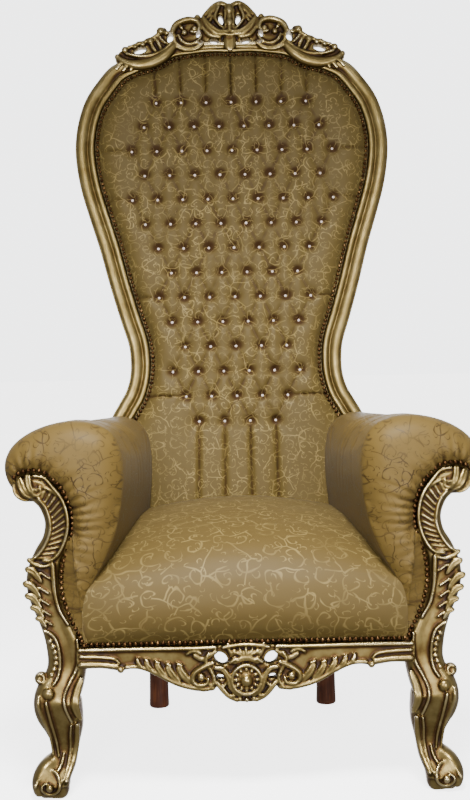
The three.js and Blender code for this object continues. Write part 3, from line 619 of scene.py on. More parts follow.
def in_throne(points):
    """Points in the back's measure as millimetres in the throne."""
    x, back, up = np.asarray(points, float).T
    y = BACK_FOOT + back * math.cos(LEAN) + up * math.sin(LEAN)
    return np.stack([x, y, RAIL_TOP + TOUCH + up * math.cos(LEAN) - back * math.sin(LEAN)], 1)


lower_shape = [(0, 0.74), (0.07, 0.8), (0.176, 0.94), (0.237, 1), (0.275, 0.88), (0.302, 0.55), (0.325, 0.24),
               (0.352, 0.05)]
upper_shape = [(0.381, 0), (0.414, 0.04), (0.457, 0.19), (0.515, 0.38), (0.576, 0.56), (0.637, 0.77),
               (0.678, 0.9), (0.718, 0.98), (0.752, 1), (0.787, 0.95), (0.823, 0.82), (0.852, 0.61)]
crest_shape = [(0.9, 0.877), (0.78, 0.888), (0.68, 0.892), (0.58, 0.899), (0.46, 0.913), (0.32, 0.918),
               (0.16, 0.921), (0, 0.92)]
frame_marks = [(WAIST + (FLARE - WAIST) * s, h * BACK_HEIGHT, FRAME_WIDTH / 2 - 0.5) for h, s in lower_shape]
frame_marks += [(WAIST + (WIDEST - WAIST) * s, h * BACK_HEIGHT, FRAME_WIDTH / 2) for h, s in upper_shape]
joint = 6 * (len(frame_marks) - 1)
shoulder = frame_marks[-1][0]
frame_marks += [(shoulder * s, h * BACK_HEIGHT, FRAME_WIDTH * min(0.48, 0.32 + max(0, s - 0.68) * 0.75))
                for s, h in crest_shape]
frame_rows = smooth(frame_marks, 6)
frame_side = across(frame_rows[:, :2])
frame_side[-1] = (0, 1)  # level at the crown, where the two halves meet
stile_rows, stile_side = frame_rows[:joint + 1], frame_side[:joint + 1]
crest_rows, crest_side = frame_rows[joint:], frame_side[joint:]


def moulding():
    """The section from the outer to the inner edge: [across, proud] in shares, finely stepped."""
    marks = [(1, -0.1), (0.98, -0.4), (0.92, -0.56), (0.85, -0.58), (0.78, -0.82), (0.6, -0.98), (0.35, -1.0),
             (0.1, -0.88), (-0.1, -0.66), (-0.2, -0.5), (-0.3, -0.5), (-0.38, -0.68), (-0.55, -0.84),
             (-0.75, -0.82), (-0.9, -0.66), (-1, -0.3)]
    return smooth(marks, 3)


def run_moulding(rows, side):
    """The moulding run along rows of [x, up, half width], as a closed shell in the back's measure. Where
    it starts at the foot, it is cut level to stand on the rail."""
    section = moulding()
    u = np.concatenate([section[:, 0], [-1, -0.8, 0.8, 1]])
    rear = [FRAME_DEPTH - 4, FRAME_DEPTH, FRAME_DEPTH, FRAME_DEPTH - 4]
    back = np.concatenate([section[:, 1] * PROUD, rear])
    rings = np.empty((len(rows), len(u), 3))
    rings[:, :, 0] = rows[:, :1] + side[:, :1] * rows[:, 2:] * u
    rings[:, :, 1] = back
    rings[:, :, 2] = rows[:, 1:2] + side[:, 1:] * rows[:, 2:] * u
    if rows[0, 1] == 0:
        rings[0, :, 2] = back * math.tan(LEAN)
    return skin(rings)


def back_piece(name, shells):
    """A piece of the back, from shells in its own measure."""
    points, faces = joined(shells)
    return new_piece(name, in_throne(points), faces)


stile_right = turn_outwards(back_piece("moulded_stile_right", [run_moulding(stile_rows, stile_side)]))
stile_left = other_hand(stile_right, "moulded_stile_left")
finish_gilt(stile_right, "back_stile_right", reach=3)
finish_gilt(stile_left, "back_stile_left", reach=3)

# Crest: the pierced carving over the back, in one piece with its rail. A crown of two leaves rises in
# the middle over volutes, swags run down to the stiles, and knobs stand along the top.
CREST_FRONT = -11  # mm before the face of the frame
CREST_BACK = 14
CREST_GRAIN = 2.0
crest_outline = [
    (0, 1480), (7, 1480), (20, 1481), (28, 1485), (37, 1481), (45, 1469), (60, 1453), (70, 1441), (79, 1449),
    (88, 1446), (93, 1436), (107, 1438), (125, 1434), (139, 1423), (146, 1410), (157, 1409), (163, 1418),
    (174, 1420), (182, 1411), (186, 1400), (199, 1395), (211, 1392), (220, 1385), (235, 1384), (243, 1376),
    (258, 1374), (265, 1363), (280, 1357), (287, 1347), (291, 1333), (279, 1325), (252, 1320), (223, 1319),
    (178, 1331), (119, 1351), (59, 1362), (0, 1363),
]
crest_holes = [(22, 1437, 6, 14, -0.14), (40, 1379, 14, 7, 0.2), (75, 1377, 8, 6, 0), (79, 1399, 6, 8, 0.5),
               (151, 1390, 8, 13, 0), (228, 1360, 17, 8, -0.25)]
crest_ground = flat_ground(CREST_FRONT)


def crest_carving():
    """The right half of the crest's carving and the stem in its middle."""
    right, middle = [], []

    def cut(rows, deep=9, lift=1.0, groove=0.0, onto=right):
        onto.append(rod(rows, deep, crest_ground, lift, groove))

    # the swag that hangs from the volute to the stile
    cut([(143, 1366, 9), (163, 1346, 14), (193, 1328, 15.5), (230, 1320, 14), (262, 1326, 10),
         (281, 1338, 6)], 13, 2)
    cut([(147, 1376, 4.6), (167, 1357, 5), (198, 1344, 5), (232, 1342, 5), (262, 1349, 4.6)], 8, 4)
    for x, z, size in ((244, 1316, 1.0), (262, 1315, 1.05), (280, 1318, 1.0)):
        cut([(x - 6, z + 8, 5 * size), (x + 3, z, 6 * size), (x + 9, z - 10, 3.4 * size)], 8, 3, 0.3)
    # the big volute
    cut([(147, 1400, 8), (135, 1423, 9), (107, 1435, 8.6), (84, 1431, 7.4), (76, 1415, 6), (84, 1402, 5),
         (98, 1404, 4.2)], 12, 3)
    right.append(ball(89, 1411, 7.5, crest_ground, 5))
    cut([(143, 1404, 6), (139, 1375, 7.4), (115, 1360, 7.2), (88, 1361, 6.6), (68, 1376, 6)], 9, 2, 0.3)
    cut([(130, 1396, 4.6), (122, 1381, 5), (103, 1372, 5), (82, 1379, 4.6), (72, 1395, 4.2)], 7, 2)
    right.append(ball(115, 1402, 8, crest_ground, 4))
    right.append(ball(122, 1415, 5, crest_ground, 4))
    # the leaves of the crown
    cut([(5, 1400, 8), (28, 1400, 10), (48, 1413, 10), (61, 1430, 7), (67, 1442, 3.6)], 12, 4, 0.35)
    cut([(29, 1389, 5.6), (50, 1395, 7), (67, 1414, 5.4), (73, 1436, 3.4)], 9, 2)
    cut([(66, 1444, 5), (42, 1467, 7.6), (22, 1478, 7), (3, 1470, 6)], 8, 2, 0.3)
    cut([(14, 1410, 4), (36, 1438, 5), (27, 1468, 5)], 8, 2)
    cut([(58, 1436, 4), (47, 1452, 4.6), (34, 1466, 4)], 7, 2)
    cut([(10, 1408, 3), (11, 1440, 3.4), (9, 1470, 3)], 7, 2)
    cut([(55, 1426, 3), (48, 1434, 4), (44, 1446, 3)], 7, 2)
    right.append(ball(27, 1476, 8, crest_ground, 2))
    right.append(ball(26, 1390, 6, crest_ground, 3))
    # knobs along the top, from the crown down to the stile
    for knob in ((81, 1442, 8), (160, 1402, 7), (175, 1407, 11), (202, 1382, 10), (221, 1374, 8),
                 (240, 1368, 8), (266, 1360, 9), (285, 1342, 8)):
        right.append(ball(*knob, crest_ground, 2))
    cut([(264, 1362, 4), (240, 1372, 5), (205, 1384, 5), (178, 1402, 5)], 8)
    cut([(150, 1372, 4), (166, 1378, 4), (180, 1394, 4)], 7, 2)
    cut([(186, 1352, 4.6), (196, 1366, 5), (200, 1380, 4)], 8, 2, 0.3)
    cut([(174, 1358, 4.6), (180, 1374, 5), (188, 1388, 4)], 8, 2, 0.3)
    # the stem with its flower and the pedestal
    cut([(0, 1400, 6.4), (0, 1430, 8), (0, 1468, 7)], 10, 2, 0, middle)
    middle.append(ball(0, 1458, 10, crest_ground, 5))
    for angle in np.arange(6) * math.pi / 3:
        middle.append(ball(10 * math.cos(angle), 1458 + 10 * math.sin(angle), 5, crest_ground, 4))
    middle.append(ball(0, 1427, 10, crest_ground, 5))
    cut([(0, 1396, 15), (0, 1376, 17), (0, 1362, 13)], 9, 1, 0.2, middle)
    cut([(-20, 1400, 4), (0, 1393, 6), (20, 1400, 4)], 8, 5, 0, middle)
    return [*both_halves(right), *middle]


crest_rings = [oval(*hole, side) for hole in crest_holes for side in (-1, 1)]


def drill(piece):
    """Cuts the crest's holes through a piece."""
    bits = []
    for ring in crest_rings:
        bits.append(skin([in_throne([(x, back, up) for x, up in ring]) for back in (-60, 60)]))
    drills = turn_outwards(new_piece("drills", *joined(bits)))
    piercing = piece.modifiers.new("piercing", "BOOLEAN")
    piercing.object = drills
    plain_mesh(piece)
    bpy.data.objects.remove(drills)
    return piece


whole_rail = np.vstack([crest_rows, crest_rows[-2::-1] * (-1, 1, 1)])
whole_side = np.vstack([crest_side, crest_side[-2::-1] * (-1, 1)])
crest_rail = drill(turn_outwards(back_piece("moulded_crest_rail", [run_moulding(whole_rail, whole_side)])))
crest_board = board(both_ways(crest_outline), crest_rings, CREST_FRONT, CREST_BACK, 2)
points, faces = joined([crest_board, *crest_carving()])
crest = drill(carve("carved_crest", [(in_throne(points), faces)], CREST_GRAIN))
glued = bmesh.new()
glued.from_mesh(crest.data)
glued.from_mesh(crest_rail.data)
glued.to_mesh(crest.data)
glued.free()
bpy.data.objects.remove(crest_rail)
finish_gilt(turn_outwards(crest), "back_crest")

# Rails and legs: moulded rails at the sides and a planed rail with rounded edges at the rear, all gilded,
# glued and blocked to the legs. The two rear legs are turned, tapered and stained brown.
SIDE_RAIL = (28, 46)  # mm, thickness and height


def side_rail():
    """The right rail, which runs in from the post to the rear: a round above, a hollow and a bead."""
    marks = [(-1, 0), (1, -0.02), (1, -0.28), (0.88, -0.36), (0.72, -0.46), (0.74, -0.56), (0.95, -0.62),
             (1.0, -0.74), (0.94, -0.88), (0.78, -0.97), (-1, -1)]
    rows = []
    for x, y in ((385, 60), (330, 320), (272, 587.2)):
        rows.append([(x + u * SIDE_RAIL[0] / 2, y, RAIL_TOP + v * SIDE_RAIL[1]) for u, v in marks])
    return skin(rows)


rail_right = turn_outwards(new_piece("moulded_rail_right", *side_rail()))
bevel = rail_right.modifiers.new("softened", "BEVEL")
bevel.width = 0.0012
bevel.segments = 2
bevel.limit_method = "ANGLE"
plain_mesh(rail_right)
rail_left = other_hand(rail_right, "moulded_rail_left")
finish_gilt(rail_right, "side_rail_right")
finish_gilt(rail_left, "side_rail_left")


def block(name, low, high, edge):
    """A planed block between two corners in metres, with rounded edges."""
    x, y, z = ((low[k], high[k]) for k in range(3))
    points = [(x[i & 1], y[i >> 1 & 1], z[i >> 2]) for i in range(8)]
    faces = [(0, 2, 3, 1), (4, 5, 7, 6), (0, 1, 5, 4), (2, 6, 7, 3), (0, 4, 6, 2), (1, 3, 7, 5)]
    mesh = bpy.data.meshes.new(name)
    mesh.from_pydata(points, [], faces)
    piece = bpy.data.objects.new(name, mesh)
    bpy.context.scene.collection.objects.link(piece)
    rounded = piece.modifiers.new("rounded", "BEVEL")
    rounded.width = edge
    rounded.segments = 3
    return plain_mesh(turn_outwards(piece))


rear_rail = block("planed_rear_rail", *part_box("rear_rail"), 0.003)
finish_gilt(rear_rail, "rear_rail")


def stained_beech():
    """Beech stained red-brown and varnished: fine long grain under a soft gloss."""
    finish, tree = new_finish("stained_beech")
    at = add(tree, "ShaderNodeTexCoord").outputs["Object"]
    stretched = add(tree, "ShaderNodeMapping", {"Vector": at, "Scale": (1, 1, 0.06)}).outputs[0]
    grain = clouds(tree, stretched, 3, 4.0)
    both = worked_out(tree, "MULTIPLY_ADD", grain, 0.7, clouds(tree, at, 60))
    colour = ramp(tree, both, [(0.5, "#2a1208"), (0.85, "#4a2513"), (1.0, "#5c321a")])
    return coat(finish, {"Base Color": colour, "Roughness": 0.42, "Specular IOR Level": 0.2,
                         "Normal": bumps(tree, grain, 0.1, 0.4)})


def turned_leg(side):
    """A tapered leg, turned with a rounded foot and standing in its node's place."""
    low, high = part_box(f"rear_leg_{side}")
    middle = (low + high) / 2
    foot, top, height = 24.5, 20, high.z * 1000
    marks = [(foot - 5, 0), (foot - 2, 0.8), (foot, 3.5), (foot + 0.2, 8), (foot - 0.2, 20)]
    marks += [(foot + (top - foot) * h / height, h) for h in np.linspace(30, height, 8)]
    turn = 2 * np.pi * np.arange(48) / 48
    rings = [np.stack([middle.x * 1000 + r * np.cos(turn), (middle.y - TOES) * 1000 + r * np.sin(turn),
                       0 * turn + h], 1) for r, h in marks]
    leg = turn_outwards(new_piece(f"turned_leg_{side}", *skin(rings)))
    leg.data.materials.append(wood)
    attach(leg, "root")
    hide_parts(f"rear_leg_{side}")


wood = stained_beech()
turned_leg("right")
turned_leg("left")

# Bottom: the webbing under the springs, closed with plain black cloth that is tacked to the rails from
# below. It takes the shape of its node, so only its finish is made here.


def dust_cloth():
    """Black cotton cloth: dull, with its plain weave drawn at 1.5 mm so that it shows."""
    finish, tree = new_finish("black_cotton_cloth")
    at = add(tree, "ShaderNodeTexCoord").outputs["Object"]
    threads = [add(tree, "ShaderNodeTexWave", {"Vector": at, "Scale": 1000 / 1.5 / 6.28},
                   bands_direction=way).outputs["Fac"] for way in ("X", "Y")]
    weave = worked_out(tree, "MULTIPLY", *threads)
    colour = ramp(tree, weave, [(0.0, "#0f0d0b"), (1.0, "#25211b")])
    return coat(finish, {"Base Color": colour, "Roughness": 0.9, "Normal": bumps(tree, weave, 0.3, 0.5)})


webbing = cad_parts["seat_webbing"]
webbing.data.materials.clear()
webbing.data.materials.append(dust_cloth())

# Upholstery: satin jacquard in old gold with a scrolling leaf figure, over horsehair and wadding. Its
# figure is a smoother satin than the ground, so it catches the light. Its colour is partly painted light as
# well:
# paler than the ground as a painted sheen on the back and seat, and darker as painted shade on the arms.
THREAD = 1.3  # mm, coarser than the real 0.3 mm so that the weave shows


def jacquard(name, ground, shade, figure, figure_size, contrast):
    """Satin jacquard whose scrolls measure figure_size mm, drawn on the cloth's own UV map in metres."""
    finish, tree = new_finish(name)

    def sum_of(kind, *values):
        return worked_out(tree, kind, *values)

    cloth = add(tree, "ShaderNodeUVMap", uv_map="cloth").outputs[0]
    scaled = vectors(tree, "SCALE", {0: cloth, "Scale": 1000 / figure_size})
    wander = add(tree, "ShaderNodeTexNoise", {"Vector": scaled, "Scale": 1.1, "Detail": 1.0}).outputs["Color"]
    pushed = vectors(tree, "MULTIPLY_ADD", {0: wander, 1: (0.55, 0.55, 0.0), 2: scaled})
    masks = []
    for scale, turns, width, reach in ((1.0, 1.75, 0.03, 0.52), (1.9, 1.1, 0.04, 0.42)):
        cell = add(tree, "ShaderNodeTexVoronoi", {"Vector": pushed, "Scale": scale, "Randomness": 0.8},
                   voronoi_dimensions="2D").outputs
        local = vectors(tree, "SUBTRACT", {0: pushed, 1: cell["Position"]})
        parts = add(tree, "ShaderNodeSeparateXYZ", {0: local}).outputs
        chance = add(tree, "ShaderNodeSeparateColor", {0: cell["Color"]}).outputs
        angle = sum_of("DIVIDE", sum_of("ARCTAN2", parts[1], parts[0]), 2 * math.pi)
        hand = sum_of("MULTIPLY_ADD", sum_of("GREATER_THAN", chance[1], 0.5), 2.0, -1.0)
        wound = sum_of("MULTIPLY_ADD", cell["Distance"], -turns,
                       sum_of("MULTIPLY_ADD", angle, hand, chance[0]))
        from_middle = sum_of("ABSOLUTE", sum_of("SUBTRACT", sum_of("FRACT", wound), 0.5))
        leaves = sum_of("SINE", sum_of("MULTIPLY", angle, 2 * math.pi * 4))
        wide = sum_of("MULTIPLY_ADD", leaves, 0.45 * width, width)
        off_line = sum_of("SUBTRACT", sum_of("DIVIDE", from_middle, turns), wide)
        inside = sum_of("LESS_THAN", cell["Distance"], reach)
        masks.append(sum_of("MULTIPLY", ranged(tree, off_line, 0.02, -0.02, 0, 1), inside))
    stem = add(tree, "ShaderNodeTexVoronoi", {"Vector": pushed, "Scale": 0.8, "Randomness": 1.0},
               voronoi_dimensions="2D", feature="DISTANCE_TO_EDGE").outputs["Distance"]
    stretch = add(tree, "ShaderNodeTexNoise", {"Vector": scaled, "Scale": 0.9}).outputs["Fac"]
    masks.append(sum_of("MULTIPLY", ranged(tree, stem, 0.035, 0.015, 0, 1),
                        sum_of("GREATER_THAN", stretch, 0.48)))
    drawn = sum_of("MAXIMUM", sum_of("MAXIMUM", masks[0], masks[1]), masks[2])
    light = clouds(tree, cloth, 70)
    drawn = sum_of("MULTIPLY", drawn, ranged(tree, light, 0.35, 0.65, 0.3 * contrast, contrast))

    thread = vectors(tree, "SCALE", {0: cloth, "Scale": 1000 / THREAD})
    twill = add(tree, "ShaderNodeTexWave", {"Vector": thread, "Scale": 0.32, "Distortion": 0.4},
                bands_direction="DIAGONAL").outputs["Fac"]
    tone = clouds(tree, cloth, 130, 3.0)
    hollow = add(tree, "ShaderNodeAttribute", attribute_name="hollow").outputs["Fac"]
    # painted shade: the ground goes towards the shade colour where the depth and the shade added to it are
    # high, in pits, folds and creases; the tone varies at random
    painted_shade_and_tone = sum_of("MULTIPLY_ADD", hollow, 0.5, sum_of("MULTIPLY_ADD", tone, 0.5, 0.2))
    base = ramp(tree, painted_shade_and_tone, [(0.35, ground), (0.55, ground), (0.95, shade)])
    height = sum_of("MULTIPLY_ADD", twill, 0.35, drawn)
    return coat(finish, {
        "Base Color": mixed(tree, drawn, base, linear(figure)),
        "Roughness": ranged(tree, drawn, 0, 1, 0.56, 0.38), "Specular IOR Level": 0.16,
        "Sheen Weight": 0.02, "Sheen Roughness": 0.4, "Normal": bumps(tree, height, 0.25, 0.5)})


def upholster(piece, finish, node, painted_shade=0.0):
    """Covers a soft piece with its cloth, with painted shade where the last argument is high, and sets it in
    its node's place.
    """
    mark_hollows(piece, 2.5, (3, 12), painted_shade)
    piece.data.materials.clear()
    piece.data.materials.append(finish)
    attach(piece, "root")
    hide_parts(node)

def sheet_faces(rows, columns, start=0):
    """The faces of a sheet, row by row, whose points are numbered from start."""
    wide = columns + 1
    corners = [start + r * wide + c for r in range(rows) for c in range(columns)]
    return [(a, a + 1, a + wide + 1, a + wide) for a in corners]


def sheet_rim(rows, columns):
    """The points round the edge of a sheet, in turn."""
    numbers = np.arange((rows + 1) * (columns + 1)).reshape(rows + 1, columns + 1)
    sides = [numbers[0], numbers[1:, -1], numbers[-1, -2::-1], numbers[-2:0:-1, 0]]
    return np.concatenate(sides).tolist()


def closed(points, rows, columns, axis, level):
    """A sheet closed by a flat copy of its rim, at a level on one axis: points, faces and the rim."""
    rim = sheet_rim(rows, columns)
    start, count = len(points), len(rim)
    flat = points[rim]
    flat[:, axis] = level
    sides = [(a, start + i, start + (i + 1) % count, rim[(i + 1) % count]) for i, a in enumerate(rim)]
    bottom = tuple(range(start + count - 1, start - 1, -1))
    return np.vstack([points, flat]), [*sheet_faces(rows, columns), *sides, bottom], rim
def swelling(grid, held, reach):
    """How far each point of a cover moves as the stuffing fills it, in millimetres: a cloth simulation
    under pressure on every second row and column. Held points stay, and reach caps the others."""
    coarse, fixed = grid[::2, ::2], held[::2, ::2]
    rows, columns = fixed.shape
    sheet = new_piece("cover", coarse.reshape(-1, 3), sheet_faces(rows - 1, columns - 1))
    pins = sheet.vertex_groups.new(name="held")
    pins.add(np.flatnonzero(fixed).tolist(), 1.0, "REPLACE")
    cover = sheet.modifiers.new("cover", "CLOTH").settings
    cover.vertex_group_mass = pins.name
    cover.mass = 0.01
    cover.quality = 3
    cover.use_pressure = True
    cover.uniform_pressure_force = 4
    cover.effector_weights.gravity = 0
    for step in range(1, 11):
        bpy.context.scene.frame_set(step)
    stretched = sheet.evaluated_get(bpy.context.evaluated_depsgraph_get()).data
    after = np.empty(rows * columns * 3)
    stretched.vertices.foreach_get("co", after)
    moved = (after.reshape(coarse.shape) - place(coarse)) * 1000
    bpy.context.scene.frame_set(1)
    bpy.data.objects.remove(sheet)
    length = np.maximum(np.linalg.norm(moved, axis=2, keepdims=True), 1e-6)
    moved *= np.tanh(length / reach) * reach / length
    for axis, count in ((0, grid.shape[0]), (1, grid.shape[1])):
        at = np.arange(count) / 2
        low = np.minimum(at.astype(int), moved.shape[axis] - 2)
        share = (at - low).reshape((-1, 1, 1) if axis == 0 else (1, -1, 1))
        moved = np.take(moved, low, axis) * (1 - share) + np.take(moved, low + 1, axis) * share
    return moved


def wavering(points, size, seed):
    """Smooth noise from -1 to 1 for each point; size is in the points' own measure."""
    shift = Vector((seed, 3.7 * seed, 1.3 * seed))
    return np.array([noise.noise(Vector(p) / size + shift) for p in points])


# Back pad: deep-buttoned over the frame's opening, with diamond folds between the buttons, and pleats
# from the outer buttons to the frame.
PAD_PROUD = 34  # mm before the face of the frame
PAD_BACKING = 28  # mm behind it
PAD_LOW = 130  # mm up the lean, behind the seat
BUTTON_STEP = (63, 62)  # mm, across and up
BUTTON_TOP = 1219  # mm up the lean, the top row
BUTTON_ROWS = (7, 8, 9, 8, 9, 8, 7, 6, 7, 6, 5, 6, 5, 4)
TUFT_DEPTH = 21  # mm that a button is pulled in
NAILED_EDGE = (10, 8)  # mm, width of the edge under the nails and how proud it is
stile_inner = stile_rows[:, :2] - stile_side * (stile_rows[:, 2:] + TOUCH)
crest_inner = crest_rows[:, :2] - crest_side * (crest_rows[:, 2:] + TOUCH)
pad_outline = np.vstack([stile_inner[stile_inner[:, 1] < crest_inner[0, 1]], crest_inner])


def back_grid(columns, rows, low, climb, over):
    """A grid that fills an outline, which climbs the stile and runs over along the crest rail: its
    shares across and up, and its x and up in millimetres."""
    s = np.linspace(-1, 1, columns + 1)
    t = np.linspace(0, 1, rows + 1)[:, None]
    top = np.interp(np.abs(s) * over[0, 0], over[::-1, 0], over[::-1, 1])
    up = low + (top - low) * t
    return s, t, s * np.interp(up, climb[:, 1], climb[:, 0]), up


def button_places():
    """Every button's [x, up]."""
    across_step, up_step = BUTTON_STEP
    return [[((i - (count - 1) / 2) * across_step, BUTTON_TOP - row * up_step) for i in range(count)]
            for row, count in enumerate(BUTTON_ROWS)]


def folds():
    """The folds of the cloth as [x, up, x, up, depth, width], from button to button and to the frame."""
    rows = button_places()
    chance = np.random.default_rng(7)
    made = []
    for upper, lower in zip(rows, rows[1:]):
        for x, up in upper:
            for x2, up2 in lower:
                if abs(x2 - x) < BUTTON_STEP[0] * 0.6:
                    made.append((x, up, x2, up2, 8 * chance.uniform(0.7, 1.2), 7))
    for x, up in rows[0]:
        made.append((x, up, x * 1.04, BUTTON_TOP + 200, 11 * chance.uniform(0.85, 1.1), 3.6))
    for x, up in rows[-1]:
        made.append((x, up, x * 1.06, PAD_LOW - 20, 13 * chance.uniform(0.85, 1.1), 5))
    for row in (2, 4, 8, 12):
        for side in (0, -1):
            x, up = rows[row][side]
            made.append((x, up, x + math.copysign(220, x), up + 4, 10, 3.8))
    return made


def pad_relief(x, up):
    """How far the pad's face stands before the face of the frame, how much it is pulled in by the
    buttons, how deep in shade it lies, and how far it is from its nailed edge."""
    edge = np.full(x.shape, 1e9)
    for px, pz in pad_outline:
        edge = np.minimum(edge, np.minimum(np.hypot(x - px, up - pz), np.hypot(x + px, up - pz)))
    slope = 1 - np.exp(-np.clip(edge - NAILED_EDGE[0], 0, None) / 13)
    face = NAILED_EDGE[1] + (PAD_PROUD - NAILED_EDGE[1]) * slope
    pull = np.zeros(x.shape)
    shade = np.zeros(x.shape)
    for x1, up1, x2, up2, depth, width in folds():
        run = np.array([x2 - x1, up2 - up1])
        share = np.clip(((x - x1) * run[0] + (up - up1) * run[1]) / (run @ run), 0, 1)
        far = np.hypot(x - x1 - share * run[0], up - up1 - share * run[1])
        pull = np.maximum(pull, depth * np.exp(-far / width))
    for row in button_places():
        for bx, bup in row:
            far = np.hypot(x - bx, up - bup)
            pull = np.maximum(pull, TUFT_DEPTH * np.exp(-((far / 14.5) ** 1.25)))
            shade = np.maximum(shade, np.exp(-((np.hypot(x - bx, up - bup - 4) / 17) ** 2)))
    held = np.clip(edge / 16, 0, 1)
    return face - pull * held, pull / TUFT_DEPTH * held, shade, edge


def back_pad():
    """The pad's face as a fine grid, and a plain backing that closes it."""
    columns, rows = 170, 330
    climb = pad_outline[:1 - len(crest_inner)]
    x, up = back_grid(columns, rows, PAD_LOW, climb, crest_inner)[2:]
    face, pulled, shade, edge = pad_relief(x, up)
    points = np.stack([x, -face, up], 2).reshape(-1, 3)
    points[:, 1] += 0.6 * wavering(points, 30, 2) + 0.5 * wavering(points, 13, 8)
    held = (pulled > 0.6) | (edge < NAILED_EDGE[0])
    held[[0, -1]] = True
    held[:, [0, -1]] = True
    swollen = swelling(in_throne(points).reshape(*face.shape, 3), held, 6)
    points[:, 1] -= (swollen @ (0, -math.cos(LEAN), math.sin(LEAN))).ravel()
    points, faces, rim = closed(points, rows, columns, 1, PAD_BACKING)
    shaded = np.concatenate([(0.75 * shade + 0.35 * pulled).ravel(), np.zeros(len(rim))])
    return points, faces, points[:, [0, 2]] * 0.001, shaded


pad_points, pad_faces, pad_uv, pad_shade = back_pad()
pad = new_piece("buttoned_pad", in_throne(pad_points), pad_faces, pad_uv)
turn_outwards(pad)
# the pale figure is partly a painted sheen, and the shade colour is painted into the pits and folds
back_satin = jacquard("satin_jacquard_back", "#4d3f1d", "#35220d", "#857342", 32, 0.7)
upholster(pad, back_satin, "back_pad", painted_shade=pad_shade)

# Crystal buttons: a cut glass stone in a brass cup on each of the ninety-five buttons. They sit at the
# bottom of the pits, tipped with the back, and sparkle.
STONE = 3.3  # mm radius


def stud_tree(name, stone):
    """Sets a small turned or cut shape on every point, turned to the point's own direction."""
    tree = bpy.data.node_groups.new(name, "GeometryNodeTree")
    sockets = {"Geometry": "Geometry", "Radius": "Float", "Rise": "Float", "Finish": "Material"}
    for title, kind in sockets.items():
        tree.interface.new_socket(title, in_out="INPUT", socket_type=f"NodeSocket{kind}")
    tree.interface.new_socket("Geometry", in_out="OUTPUT", socket_type="NodeSocketGeometry")
    given = add(tree, "NodeGroupInput")
    if stone:
        crown = add(tree, "GeometryNodeMeshCone", {"Vertices": 8, "Radius Top": 0.55, "Radius Bottom": 1.0,
                                                   "Depth": 0.45})
        girdle = add(tree, "GeometryNodeMeshCone", {"Vertices": 8, "Radius Top": 1.0, "Radius Bottom": 0.25,
                                                    "Depth": 0.6})
        raised = add(tree, "GeometryNodeTransform", {"Geometry": crown.outputs["Mesh"],
                                                     "Translation": (0, 0, 0.6)})
        shape = add(tree, "GeometryNodeJoinGeometry")
        tree.links.new(raised.outputs[0], shape.inputs[0])
        tree.links.new(girdle.outputs["Mesh"], shape.inputs[0])
        merged = add(tree, "GeometryNodeMergeByDistance", {"Geometry": shape.outputs[0], "Distance": 0.001})
        body = merged.outputs[0]
    else:
        body = add(tree, "GeometryNodeMeshUVSphere", {"Segments": 8, "Rings": 5}).outputs["Mesh"]
    size = add(tree, "ShaderNodeCombineXYZ", {0: given.outputs["Radius"], 1: given.outputs["Radius"],
                                              2: given.outputs["Rise"]})
    aim = add(tree, "GeometryNodeInputNamedAttribute", {"Name": "aim"}, data_type="FLOAT_VECTOR")
    turn = add(tree, "FunctionNodeAlignRotationToVector", {"Vector": aim.outputs["Attribute"]}, axis="Z")
    set_on = add(tree, "GeometryNodeInstanceOnPoints", {
        "Points": given.outputs["Geometry"], "Instance": body, "Rotation": turn.outputs[0],
        "Scale": size.outputs[0]})
    real = add(tree, "GeometryNodeRealizeInstances", {"Geometry": set_on.outputs[0]})
    finished = add(tree, "GeometryNodeSetMaterial", {"Geometry": real.outputs[0],
                                                     "Material": given.outputs["Finish"]})
    add(tree, "NodeGroupOutput", {0: finished.outputs[0]})
    return tree


def set_studs(name, tree, points, aims, radius, rise, finish, flat=False):
    """Studs of one kind at points in millimetres, each facing its aim."""
    piece = new_piece(name, points, [])
    mark = piece.data.attributes.new("aim", "FLOAT_VECTOR", "POINT")
    mark.data.foreach_set("vector", np.asarray(aims, np.float32).ravel())
    setting = piece.modifiers.new("studs", "NODES")
    setting.node_group = tree
    values = {"Radius": radius * 0.001, "Rise": rise * 0.001, "Finish": finish}
    for socket in tree.interface.items_tree:
        if socket.in_out == "INPUT" and socket.name in values:
            setting[socket.identifier] = values[socket.name]
    plain_mesh(piece)
    if flat:
        piece.data.shade_flat()
    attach(piece, "root")
    return piece


def antique_brass():
    """Brass nail heads darkened by age: brown with a small bright glint."""
    finish, tree = new_finish("antique_brass")
    at = add(tree, "ShaderNodeTexCoord").outputs["Object"]
    spots = clouds(tree, at, 9, 3.0)
    colour = ramp(tree, spots, [(0.35, "#26170c"), (0.55, "#46301b"), (0.75, "#7d5f3b")])
    return coat(finish, {"Base Color": colour, "Roughness": ranged(tree, spots, 0, 1, 0.45, 0.2),
                         "Metallic": 1.0})


def cut_glass():
    """Lead crystal, cut with flat facets, with a strong sparkle. Its pale pinkish-white colour, only partly
    clear, is a painted glint.
    """
    return coat(new_finish("lead_crystal")[0], {"Base Color": linear("#ffeee6"), "Roughness": 0.05,
                                                "IOR": 1.62, "Transmission Weight": 0.4})


brass = antique_brass()
dome_tree = stud_tree("domed_heads", False)
stone_tree = stud_tree("cut_stones", True)
button_points = np.array([spot for row in button_places() for spot in row])
button_relief = pad_relief(button_points[:, 0], button_points[:, 1])[0]
out_of_back = np.array([0, -math.cos(LEAN), math.sin(LEAN)])
aims = np.tile(out_of_back, (len(button_points), 1))


def on_back(lift):
    """The buttons' places, raised from the bottom of their pits."""
    return in_throne(np.stack([button_points[:, 0], -button_relief - lift, button_points[:, 1]], 1))


set_studs("button_cups", dome_tree, on_back(0.3), aims, 5.0, 2.8, brass)
set_studs("crystal_buttons", stone_tree, on_back(2.2), aims, STONE, 4.0, cut_glass(), flat=True)

# Outside back: the same satin stretched flat over webbing and nailed round the rear of the frame. It
# has a thin layer of wadding, so it is a little domed.


